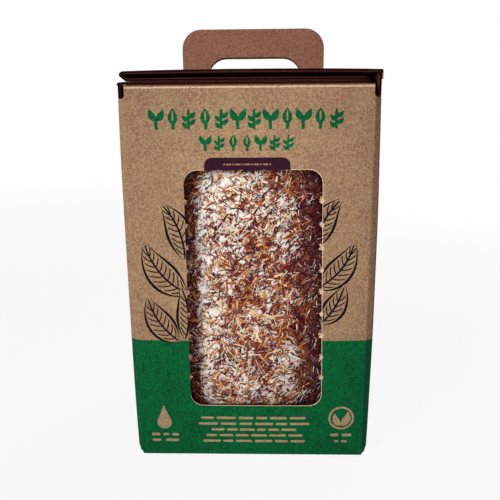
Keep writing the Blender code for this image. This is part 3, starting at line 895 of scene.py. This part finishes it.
# Bottom flaps
# Four flaps folded in under the walls and glued. The front wall's flap is the outermost.
BOTTOM_SIDE, BOTTOM_BACK, BOTTOM_ROUND = 0.055, 0.085, 0.006
layer = BOARD + GAP
side_half = depth / 2 - NOTCH_WIDTH - 2 * BOARD
crook = FOLD * math.pi / 2
for name, wall_at, low, reach, half, crook_ink, plane in (
        ("front", depth / 2, 0.0, depth - 2 * BOARD, inset, GREEN, lambda a, x, z: (x, a, z)),
        ("back", depth / 2, layer, BOTTOM_BACK, inset, GREEN, lambda a, x, z: (x, -a, z)),
        ("left", width / 2, 2 * layer, BOTTOM_SIDE, side_half, KRAFT, lambda a, y, z: (a, y, z)),
        ("right", width / 2, 2 * layer, BOTTOM_SIDE, side_half, KRAFT, lambda a, y, z: (-a, y, z))):
    fold = Fold((half_board - wall_at, low + fold_room), -90)
    fold.bend(90, FOLD)
    fold.run(reach - FOLD - half_board, FLAP_STEP)
    outline = rounded([(0.0, -half - FOOT_SLOPE / 2, 0.0), (crook, -half, 0.0),
                       (fold.length, -half, BOTTOM_ROUND), (fold.length, half, BOTTOM_ROUND),
                       (crook, half, 0.0), (0.0, half + FOOT_SLOPE / 2, 0.0)], 4)
    make_flap(f"bottom_{name}_board", f"bottom_flap_{name}", "carton", fold, outline, [], plane, 1,
              [(oblong(-0.001, -width, crook, width), crook_ink)])

# Straw block
# Chopped straw pressed into the bag and bound into one lump by white mycelium. The base is the
# mycelium's own felted skin, thick and white in places and thin over brown straw in others.
block_low, block_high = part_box("straw_block")
BLOCK_CENTRE = 0.003
BLOCK_TURN = math.radians(10)
BLOCK_HALF_WIDTH, BLOCK_HALF_DEPTH = 0.0832, 0.0572
BLOCK_SQUARE = 8
SHOULDER, END_SHARE = 0.90, 0.10
SKIN_SINK, GROWN_DEEP = 0.0016, 0.0004
LUMP_SIZE, LUMP_DEEP = 0.0052, 0.0007
TUFT_SIZE, TUFT_DEEP = 0.0021, 0.0008
FRONT_LEFT, FRONT_RIGHT = math.radians(-136), math.radians(-44)
CORNER_SHADE_FOOT = 0.192
AT_POLES = [0.3, 0.3]
block_mid = (block_low.z + block_high.z) / 2
half_tall = (block_high.z - block_low.z) / 2


def turned(x, y, z):
    """Places in the carton of points measured from the middle of the turned block."""
    cos, sin = math.cos(BLOCK_TURN), math.sin(BLOCK_TURN)
    return np.stack(np.broadcast_arrays(BLOCK_CENTRE + x * cos - y * sin, x * sin + y * cos, z), -1)


def skin(angle, climb, offset=0.0):
    """Points of the block: angle round it, climb from -1 at its foot to 1 at its top."""
    narrow = np.sqrt(np.maximum(0.0, 1.0 - np.abs(climb) ** BLOCK_SQUARE))
    x = (BLOCK_HALF_WIDTH * narrow + offset) * np.cos(angle)
    y = (BLOCK_HALF_DEPTH * narrow + offset) * np.sin(angle)
    return turned(x, y, block_mid + (half_tall + offset) * climb)


def along_skin(angle, climb):
    """Vectors round and up the skin, for a unit of angle and of climb."""
    step = 1e-3
    return ((skin(angle + step, climb) - skin(angle - step, climb)) / (2 * step),
            (skin(angle, climb + step) - skin(angle, climb - step)) / (2 * step))


def way_out(angle, climb):
    """Unit vectors straight out of the skin."""
    return unit(np.cross(*along_skin(angle, np.clip(climb, -0.998, 0.998))))


def angles_round(front_count, rest_count):
    """Angles round the block, closer together on its front."""
    front = np.linspace(FRONT_LEFT, FRONT_RIGHT, front_count, endpoint=False)
    rest = np.linspace(FRONT_RIGHT, FRONT_LEFT + 2 * math.pi, rest_count, endpoint=False)
    return np.concatenate([front, rest])


def soft_noise(points, size, octaves=1, seed=0.0):
    """Noise between about -1 and 1 at each point, with features of the given size."""
    flat = (points.reshape(-1, 3) / size + seed).tolist()
    values = [noise.noise(p) if octaves == 1 else noise.fractal(p, 1.0, 2.0, octaves) for p in flat]
    return np.array(values).reshape(points.shape[:-1])


def hump(value, middle, reach):
    """1 at the middle, falling softly to almost nothing at twice the reach."""
    return np.exp(-((value - middle) / reach) ** 2)


def growth_and_shade_at(points):
    """How thick the mycelium lies, from 0 to 1, with painted shade taken off it.

    It is thickest at the left, at the top left and low at the right, and thinner across the middle.
    It is lowered as painted shade in a band at the left, for the window edge's shadow, and in the
    two top corners; in a band at the right it is lowered partly for barer straw and partly as
    painted shade where the block turns from the key light.
    """
    x, z = points[..., 0], points[..., 2]
    drift = soft_noise(points, 0.019, 3, 7.0)
    streak = hump(x, -0.034, 0.008)
    top_patch = hump(x, -0.022, 0.016) * hump(z, 0.203, 0.012)
    low_patch = hump(x, 0.026, 0.015) * hump(z, 0.062, 0.020)
    belt = hump(z, 0.100, 0.040) * rising(x + 0.025, 0.015)
    # Painted shade: the band at the left stands for the window edge's shadow and the two top
    # corners for shade. The band at the right is partly shade and partly barer straw.
    fade = rising(x - 0.031, 0.014) + 0.8 * rising(-0.0355 - x, 0.005)
    fade += rising(z - 0.185, 0.02) * rising(x - 0.020, 0.02)
    fade += rising(z - CORNER_SHADE_FOOT, 0.010) * rising(-0.030 - x, 0.008)
    thick = 0.45 - 2.4 * x + 0.50 * drift + 0.75 * top_patch + 0.30 * streak + 0.45 * low_patch
    return np.clip(thick - 0.20 * belt - 0.75 * fade, 0.0, 1.0)


def closed_skin(rings, foot, peak):
    """Corners and faces of a closed body: rings of points, and a point at both its ends."""
    index = np.arange(rings.shape[0] * rings.shape[1]).reshape(rings.shape[:2])
    beside = np.roll(index, -1, 1)
    faces = np.stack([index[:-1], beside[:-1], beside[1:], index[1:]], -1).reshape(-1, 4).tolist()
    faces += [(index.size, b, a) for a, b in zip(index[0].tolist(), beside[0].tolist())]
    faces += [(index.size + 1, a, b) for a, b in zip(index[-1].tolist(), beside[-1].tolist())]
    return np.concatenate([rings.reshape(-1, 3), [foot, peak]]), faces


def keep_numbers(piece, **numbers):
    """Keeps named numbers on a piece's corners, where its finish reads them."""
    for name, values in numbers.items():
        store = piece.data.attributes.new(name, "FLOAT", "POINT")
        store.data.foreach_set("value", np.ravel(values))


ends = 1.0 - END_SHARE * (1.0 - np.linspace(0, 1, 14)[1:-1]) ** 2
climbs = np.concatenate([-ends[::-1], np.linspace(-SHOULDER, SHOULDER, 250), ends])
grid_angle, grid_climb = np.meshgrid(angles_round(150, 130), climbs)
points = skin(grid_angle, grid_climb)
growth = growth_and_shade_at(points)
felt = (soft_noise(points, LUMP_SIZE, 2, 1.0) * LUMP_DEEP
        + soft_noise(points, TUFT_SIZE, 2, 2.0) * TUFT_DEEP)
relief = felt + GROWN_DEEP * growth - SKIN_SINK
points = points + way_out(grid_angle, grid_climb) * relief[..., None]
poles = [(BLOCK_CENTRE, 0.0, block_mid + side * (half_tall - SKIN_SINK)) for side in (-1, 1)]

felt_finish = Finish("mycelium_felt", Roughness=0.9, Specular_IOR_Level=0.05)
growth_and_shade_wire = felt_finish.stored("growth")
fine = felt_finish.noise(0.0016, 3.0, 0.65, warp=0.8)
hairs = felt_finish.noise(0.0007, 3.0, 0.7, warp=1.5)
low_spots = felt_finish.stored("felt")
# White where the mycelium grows thick and where the felt stands high. The brown in the felt's low
# spots is partly straw showing through and partly painted shade in the hollows.
white_share = felt_finish.window(growth_and_shade_wire * 0.9 + fine * 0.5 + hairs * 0.25 + low_spots * 0.35,
                                 0.62, 0.92)
straw_tone = felt_finish.ramp(fine * 0.7 + hairs * 0.3, (0.30, 56, 8, 28), (0.45, 102, 30, 30),
                              (0.58, 170, 96, 58), (0.72, 236, 196, 140))
white_tone = felt_finish.ramp(hairs * 0.6 + fine * 0.4, (0.36, 150, 100, 82),
                              (0.46, 240, 226, 208), (0.56, 250, 248, 242))
felt_finish.set("Base Color", felt_finish.mix(white_share, straw_tone, white_tone))
felt_finish.bump(fine * 0.5 + hairs * 0.5, 0.0006, 0.8)
block = new_piece("mycelium_block", *closed_skin(points, *poles), None,
                  [felt_finish.material], 180)
keep_numbers(block, growth=np.append(growth, AT_POLES), felt=np.append(felt / TUFT_DEEP, AT_POLES))
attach(block, "carton")
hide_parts("straw_block")

# Straw
# Split and crushed lengths of stalk, flakes and fine fibres, lying flat in the felt where the
# bag pressed them. Their colours run from cream through orange to dark red-brown.
SPLIT_STALK = ((-0.5, -0.15), (-0.22, 0.20), (0.24, 0.22), (0.5, -0.15))
FLAKE = ((-0.5, -0.05), (-0.42, 0.10), (0.40, 0.12), (0.5, -0.05))
HALF_ROUND = ((-0.5, -0.2), (0.0, 0.45), (0.5, -0.2))


def sweep(rng, middle, out, widths, section):
    """Corners of many strips along their middle lines, narrower at their torn ends.

    section is a strip's cross-section as (share of width, height) corners.
    """
    count, stations = middle.shape[:2]
    side = unit(np.cross(unit(np.gradient(middle, axis=1)), out))
    taper = np.ones((count, stations))
    for end in (0, -1):
        taper[:, end] = rng.uniform(0.35, 1.0, count)
    wide = widths[:, None, None] * taper[..., None]
    return np.stack([middle + side * wide * share + out * wide * rise
                     for share, rise in section], 2)


def strips(rng, angle, climb, heading, lengths, widths, lifts, tilt, bend, stations, section):
    """Corners of many strips that lie on the block."""
    round_way, up_way = along_skin(angle, climb)
    t = np.linspace(-0.5, 0.5, stations)[None, :]
    along = t * lengths[:, None]
    sideways = bend[:, None] * lengths[:, None] * (4 * t * t)
    run_x = along * np.cos(heading)[:, None] - sideways * np.sin(heading)[:, None]
    run_z = along * np.sin(heading)[:, None] + sideways * np.cos(heading)[:, None]
    angles = angle[:, None] + run_x / np.linalg.norm(round_way, axis=-1)[:, None]
    climbs = climb[:, None] + run_z / np.linalg.norm(up_way, axis=-1)[:, None]
    climbs = np.clip(climbs, -0.985, 0.985)
    out = way_out(angles, climbs)
    middle = skin(angles, climbs) + out * (lifts[:, None] + tilt[:, None] * t * 2)[..., None]
    return sweep(rng, middle, out, widths, section)


def strip_faces(count, stations, corners):
    """Faces of many strips, each a closed skin over its stations and corners."""
    around = [(s * corners + c, s * corners + (c + 1) % corners,
               (s + 1) * corners + (c + 1) % corners, (s + 1) * corners + c)
              for s in range(stations - 1) for c in range(corners)]
    last = (stations - 1) * corners
    tips = [range(corners)[::-1], range(last, last + corners)]
    shifts = (np.arange(count) * stations * corners)[:, None, None]
    faces = []
    for part in (around, tips):
        faces += (np.array([list(f) for f in part]) + shifts).reshape(-1, len(part[0])).tolist()
    return faces


straw_finish = Finish("straw", Roughness=0.70, Specular_IOR_Level=0.06)
tone = straw_finish.stored("tone")
streaks = straw_finish.noise(0.0009, 2.0, 0.6)
blotch = straw_finish.noise(0.0045, 2.0, 0.6)
colour = straw_finish.ramp(tone + (streaks - 0.5) * 0.30 + (blotch - 0.5) * 0.35,
                           (0.0, 66, 8, 28), (0.26, 104, 26, 26), (0.53, 174, 86, 40),
                           (0.76, 218, 150, 74), (1.0, 255, 230, 184))
fuzz = straw_finish.window(straw_finish.noise(0.0013, 3.0, 0.7, warp=1.0) +
                           straw_finish.stored("growth") * 0.26, 0.80, 0.90)
straw_finish.set("Base Color", straw_finish.mix(fuzz * 0.5, colour, screen(255, 246, 228)))
straw_finish.bump(streaks, 0.0003, 0.6)

thread_finish = Finish("mycelium_threads", Roughness=0.85, Specular_IOR_Level=0.05)
wisp = thread_finish.noise(0.0011, 2.0, 0.6)
thread_finish.set("Base Color", thread_finish.ramp(wisp, (0.3, 244, 226, 206),
                                                   (0.7, 255, 255, 248)))


def lay_straw(name, seed, count, front, long, spread, wide, lift, stations, section, finish):
    """Scatters one kind of strip over the front or the rest of the block, as one joined mesh.

    Threads lie only where the mycelium has grown.
    """
    rng = np.random.default_rng(seed)
    low, high = (FRONT_LEFT, FRONT_RIGHT) if front else (FRONT_RIGHT, FRONT_LEFT + 2 * math.pi)
    angle = rng.uniform(low, high, count)
    climb = rng.uniform(-0.93, 0.93, count)
    if finish is thread_finish:
        kept = rng.random(count) < 0.20 + 1.6 * growth_and_shade_at(skin(angle, climb))
        angle, climb, count = angle[kept], climb[kept], int(kept.sum())
    spots = skin(angle, climb)
    growth = growth_and_shade_at(spots)
    heading = soft_noise(spots, 0.030, 1, 3.0) * 2.6 + 0.5 + rng.normal(0, 0.9, count)
    lengths = np.clip(long * np.exp(rng.normal(0, spread, count)), long * 0.35, long * 2.6)
    widths = wide * np.exp(rng.normal(0, 0.30, count))
    lifts = rng.uniform(*lift, count) - GROWN_DEEP * growth
    tilt = rng.normal(0, 0.00025, count)
    bend = rng.normal(0, 0.014, count)
    rings = strips(rng, angle, climb, heading, lengths, widths, lifts, tilt, bend, stations,
                   section)
    faces = strip_faces(count, stations, len(section))
    piece = new_piece(name, rings.reshape(-1, 3), faces, None, [finish.material], 50)
    x, z = spots[:, 0], spots[:, 2]
    # The straw is painted darker towards both sides of the window and in its top left corner:
    # painted shade, and at the right also barer straw.
    painted_corner_shade = rising(z - CORNER_SHADE_FOOT, 0.010) * rising(-0.032 - x, 0.008)
    bare_and_shaded_side = np.clip((np.abs(x + 0.004) - 0.030) / 0.018 + painted_corner_shade, 0.0, 1.0)
    tones = np.clip(rng.beta(0.8, 1.3, count) + 0.02 - 0.45 * bare_and_shaded_side, 0.0, 1.0)
    keep_numbers(piece, tone=np.repeat(tones, stations * len(section)),
                 growth=np.repeat(growth, stations * len(section)))
    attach(piece, "carton")


for kind in (
        ("straw_flakes", 21, 3000, True, 0.0033, 0.40, 0.00105, (-0.0012, -0.0003), 3,
         FLAKE, straw_finish),
        ("straw_stalks", 22, 1200, True, 0.0078, 0.45, 0.00100, (-0.0010, -0.0002), 5,
         SPLIT_STALK, straw_finish),
        ("straw_fibres", 23, 1900, True, 0.0062, 0.45, 0.00055, (-0.0011, -0.0001), 4,
         HALF_ROUND, straw_finish),
        ("straw_far_side", 24, 5200, False, 0.0070, 0.45, 0.00120, (-0.0012, -0.0004), 3,
         SPLIT_STALK, straw_finish),
        ("mycelium_thread_web", 25, 4200, True, 0.0046, 0.4, 0.00040, (-0.0010, -0.0002), 4,
         HALF_ROUND, thread_finish)):
    lay_straw(*kind)

# Grow bag
# Clear polypropylene film, drawn tight on the block by the threads that have grown onto it.
# Above the block it is gathered into pleats and heat sealed flat across its neck.
bag_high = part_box("grow_bag")[1]
NECK_HALF_WIDTH, NECK_HALF_DEPTH = 0.030, 0.0115
SEAL_HALF_DEPTH, SEAL_TALL, SEAL_SPREAD = 0.0007, 0.009, 0.06
PLEATS, PLEAT_DEEP = 15, 0.0020
FILM_OFF, WRINKLE = 0.0004, 0.0005
FOLD_ANGLE, FOLD_LOW, FOLD_HIGH, FOLD_FADE = math.radians(-123), 0.098, 0.205, 0.010
FOLD_WIDE, FOLD_DEEP = 0.016, 0.0011
AT_ENDS = [0.8, 0.8]

film_angles = angles_round(150, 100)
on_block = np.concatenate([-ends[::-1], np.linspace(-SHOULDER, SHOULDER, 150)])
grid_angle, grid_climb = np.meshgrid(film_angles, on_block)
spots = skin(grid_angle, grid_climb)
slack = soft_noise(spots * (1.0, 1.0, 0.45), 0.014, 2, 11.0)
ridges = np.clip(1.0 - 7.0 * np.abs(slack), 0.0, 1.0)
heights = spots * (0.0, 0.0, 1.0)
wander = (FOLD_ANGLE + 0.075 * soft_noise(heights, 0.030, 1, 5.0)
          + 0.035 * soft_noise(heights, 0.009, 1, 9.0))
long_fold = (hump(grid_angle, wander, FOLD_WIDE) * rising(spots[..., 2] - FOLD_LOW, FOLD_FADE)
             * rising(FOLD_HIGH - spots[..., 2], FOLD_FADE))
relief = WRINKLE * ridges + FOLD_DEEP * long_fold
film = skin(grid_angle, grid_climb, FILM_OFF) + way_out(grid_angle, grid_climb) * relief[..., None]
gather = np.linspace(0.0, 1.0, 26)[1:, None]
neck_foot = bag_high.z - SEAL_TALL
narrowing = (1.0 - gather) ** 1.6
pleat = PLEAT_DEEP * gather * np.cos(PLEATS * film_angles + 1.5 * np.sin(3 * film_angles))
closing = np.linspace(0.0, 1.0, 9)[1:, None]
flat = 1 - np.minimum(1.0, closing * 1.6) ** 0.8 * (1 - SEAL_HALF_DEPTH / NECK_HALF_DEPTH)
neck_wide = (NECK_HALF_WIDTH + pleat) * np.cos(film_angles)
neck_thick = (NECK_HALF_DEPTH + pleat) * np.sin(film_angles)
neck = turned(neck_wide, neck_thick, neck_foot)
gathered = neck + (film[-1] - neck) * np.stack([narrowing, narrowing, 1.0 - gather], -1)
seal = turned(neck_wide[-1] * (1 + SEAL_SPREAD * closing), neck_thick[-1] * flat,
              neck_foot + SEAL_TALL * closing)
film = np.concatenate([film, gathered, seal])
pinch = np.concatenate([0.9 * ridges, np.repeat(gather * 0.8, len(film_angles), 1),
                        np.repeat(0.8 + 0.2 * closing, len(film_angles), 1)])
fold_highlight = np.zeros(pinch.shape)
fold_highlight[:len(long_fold)] = long_fold
base = (BLOCK_CENTRE, 0.0, float(film[0, :, 2].mean()))
tip = (BLOCK_CENTRE, 0.0, bag_high.z)

film_finish = Finish("bag_film", Base_Color=(0.80, 0.86, 0.90, 1.0), Roughness=0.22)
streak = film_finish.noise(0.0060, 2.0, 0.5, (1.0, 1.0, 0.40), 0.8)
line = 1 - film_finish.window(film_finish.maths("ABSOLUTE", streak - 0.5), 0.0, 0.018)
patchy = film_finish.window(film_finish.noise(0.013, 1.0), 0.50, 0.66)
broken = film_finish.window(film_finish.noise(0.0040, 3.0, 0.7, warp=1.0), 0.40, 0.60)
# The white streaks along the film's creases and the bluish white along its long fold are painted
# highlights: the film's glare drawn as opaque white, on a real crease.
seen_share = (0.006 + line * patchy * 0.24 + film_finish.stored("pinch") * 0.025
              + film_finish.stored("fold") * broken * 0.75)
film_finish.end_in(seen_share, film_finish.node("BsdfTransparent", {}, {}), film_finish.shaded)
film_finish.bump(streak, 0.0009, 0.5)
bag = new_piece("bag_film_gathered", *closed_skin(film, base, tip), None,
                [film_finish.material], 180)
keep_numbers(bag, pinch=np.append(pinch, AT_ENDS), fold=np.append(fold_highlight, AT_ENDS))
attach(bag, "carton")
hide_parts("grow_bag")

# Torn paper
# Frayed liner and flute paper at the stubs, where the window's cover was pulled away.
FRAY_COUNT, FRAY_STATIONS = 16, (0.0, 0.35, 0.7, 1.0)
rng = np.random.default_rng(31)
middles, wides = [], []
for x, z, (out_x, out_z), reach in nib_rims:
    slide = rng.uniform(-0.0015, 0.0015, FRAY_COUNT)
    lean = rng.normal(0, 0.55, FRAY_COUNT)
    long = rng.uniform(0.0012, 0.0030, FRAY_COUNT) * (1.0 if out_x else 0.55)
    depth_in = rng.uniform(0.0004, 0.0013, FRAY_COUNT)
    height_in = rng.uniform(-0.0006, 0.0007, FRAY_COUNT)
    curl = rng.uniform(-0.0006, 0.0006, FRAY_COUNT)
    line = []
    for t in FRAY_STATIONS:
        ahead_in = long * t - depth_in
        sideways = slide + ahead_in * np.sin(lean)
        u = x - out_x * ahead_in * np.cos(lean) + out_z * sideways
        v = z - out_z * ahead_in * np.cos(lean) + abs(out_x) * sideways
        line.append(wall_place(np.stack([front_zero + u, v], 1), height_in + curl * t * t))
    middles.append(np.stack(line, 1))
    wides.append(rng.uniform(0.0003, 0.0013, FRAY_COUNT))
middles = np.concatenate(middles)
front = np.broadcast_to((0.0, -1.0, 0.0), middles.shape)
rings = sweep(rng, middles, front, np.concatenate(wides), FLAKE)
torn_finish = Finish("torn_paper", Roughness=0.95)
shred = torn_finish.noise(0.0009, 3.0, 0.7, warp=0.8)
# Lit and shaded copies of one torn paper: the stubs at the right are painted pale as lit, those at
# the left and at the top painted dim as in shade. The dark stops in both paint shade within the
# tufts.
shaded_paper = torn_finish.ramp(shred, (0.34, 74, 44, 42), (0.48, 128, 98, 80), (0.62, 172, 142, 114))
pale = torn_finish.ramp(shred, (0.34, 118, 80, 62), (0.48, 196, 166, 134), (0.62, 244, 230, 210))
torn_finish.set("Base Color", torn_finish.mix(torn_finish.stored("pale"), shaded_paper, pale))
torn_finish.bump(shred, 0.0004, 0.8)
faces = strip_faces(len(middles), len(FRAY_STATIONS), len(FLAKE))
torn = new_piece("torn_stub_paper", rings.reshape(-1, 3), faces, None, [torn_finish.material], 50)
# 1 where the stubs are painted lit, 0 where they are painted in shade.
lit_side = [1.0 if out_x > 0 else 0.0 for _, _, (out_x, _), _ in nib_rims]
keep_numbers(torn, pale=np.repeat(lit_side, FRAY_COUNT * len(FRAY_STATIONS) * len(FLAKE)))
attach(torn, "carton")

# Cover crease
# The liner runs on from the right wall over the end of the upper cover flap, and bends there.
CREASE_FOOT, CREASE_OVER, CREASE_ROUND = 0.0058, 0.0040, 0.0007
top_x, top_z = crease_x + LINER / 2, right_flap_high.z + LINER / 2
path = Fold((top_x, right_flap_high.z - CREASE_FOOT), 90)
path.run(top_z - CREASE_ROUND - right_flap_high.z + CREASE_FOOT, 0.0004)
path.bend(90, CREASE_ROUND, 8)
path.run(CREASE_OVER, 0.0010)
spine, out = path.at(np.array(path.lines))
rings = []
for side, offset in ((-1, -LINER / 2), (-1, LINER / 2), (1, LINER / 2), (1, -LINER / 2)):
    rim = spine + out * offset
    rings.append(np.stack([rim[:, 0], np.full(len(rim), side * cover_half), rim[:, 1]], 1))
# The strip's faces go round it in turn: a cut edge, then a face of the liner.
hinge = new_piece("cover_crease_liner", np.stack(rings, 1).reshape(-1, 3),
                  strip_faces(1, len(spine), 4), [RAW_AND_SHADED, KRAFT] * (2 * len(spine) - 1),
                  board_finishes)
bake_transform(hinge)

# Camera, light and floor
# A still camera a little above the front face. A soft key light stands at the upper left, a wider
# one behind, and a narrow soft pool falls on the front. The pale floor fades to the white behind.
FOCAL_PX, IMAGE_PX, SENSOR_MM = 639.55, 500, 36
CAMERA_X, CAMERA_AHEAD, CAMERA_Z = 0.01228, -0.41472, 0.27030
PITCH, YAW, ROLL = math.radians(15.302), math.radians(1.711), math.radians(-0.530)
FLOOR_HALF, FLOOR_SINK = 6.0, 0.0002
FADE_START, FADE_END, FLOOR_WHITE = 0.35, 1.6, 0.90

ahead = Vector((-math.sin(YAW) * math.cos(PITCH), math.cos(YAW) * math.cos(PITCH),
                -math.sin(PITCH)))
level = Vector((math.cos(YAW), math.sin(YAW), 0.0))
upright = level.cross(ahead)
right = level * math.cos(ROLL) + upright * math.sin(ROLL)
up = upright * math.cos(ROLL) - level * math.sin(ROLL)
camera_data = bpy.data.cameras.new("camera")
camera_data.lens = FOCAL_PX / IMAGE_PX * SENSOR_MM
camera_data.sensor_width = SENSOR_MM
camera = stand("camera", camera_data)
camera.matrix_world = Matrix.Translation((CAMERA_X, CAMERA_AHEAD - depth / 2, CAMERA_Z)) @ Matrix(
    (right, up, -ahead)).transposed().to_4x4()
bpy.context.scene.camera = camera

for name, kind, watts, colour, place, aim, narrow, settings in (
        ("key", "AREA", 9.8, (0.94, 1.0, 0.92), (-0.64, -1.02, 0.58), (0.0, -0.05, 0.15), 1.0,
         {"size": 0.42}),
        ("back", "AREA", 9.0, (1.0, 0.98, 0.94), (0.62, 1.05, 0.60), (0.0, 0.0, 0.13), 1.0,
         {"size": 0.60}),
        ("pool", "SPOT", 8.5, (0.92, 1.0, 0.98), (0.03, -0.70, 0.34), (0.006, -0.065, 0.150), 0.53,
         {"spot_size": math.radians(30), "spot_blend": 1.0, "shadow_soft_size": 0.06})):
    data = bpy.data.lights.new(name, kind)
    for setting, value in {"energy": watts, "color": colour, **settings}.items():
        setattr(data, setting, value)
    light = stand(name, data)
    light.location = place
    light.rotation_euler = (Vector(place) - Vector(aim)).to_track_quat("Z", "Y").to_euler()
    light.scale.x = narrow

world = bpy.data.worlds.new("studio")
world.use_nodes = True
studio = Nodes(world.node_tree, "World Output")
sky = studio.tree.nodes["Background"]
studio.join(sky.inputs["Color"], (1.0, 0.45, 1.0, 1.0))
studio.join(sky.inputs["Strength"], 0.165)
white = studio.node("Background", {}, {"Color": (1.0, 1.0, 1.0, 1.0)})
seen = studio.node("LightPath", {}, {}, "Is Camera Ray")
studio.end_in(seen, Wire(studio, sky.outputs[0]), white)
bpy.context.scene.world = world
bpy.context.scene.view_settings.view_transform = "Standard"

floor_mesh = bpy.data.meshes.new("floor")
work = bmesh.new()
bmesh.ops.create_grid(work, x_segments=4, y_segments=4, size=FLOOR_HALF)
work.to_mesh(floor_mesh)
work.free()
floor = stand("floor", floor_mesh)
floor.location.z = -FLOOR_SINK
pale = Finish("pale_floor", Base_Color=(0.75, 0.75, 0.75, 1.0), Roughness=0.9)
lit = pale.node("Emission", {}, {"Color": (1.0, 1.0, 1.0, 1.0), "Strength": 1.0})
seen = pale.node("LightPath", {}, {}, "Is Camera Ray")
away = pale.node("VectorMath", {"operation": "LENGTH"}, {0: pale.place()}, "Value")
fade = pale.window(away, FADE_START, FADE_END)
pale.end_in(seen * (fade * (1 - FLOOR_WHITE) + FLOOR_WHITE), pale.shaded, lit)
floor_mesh.materials.append(pale.material)
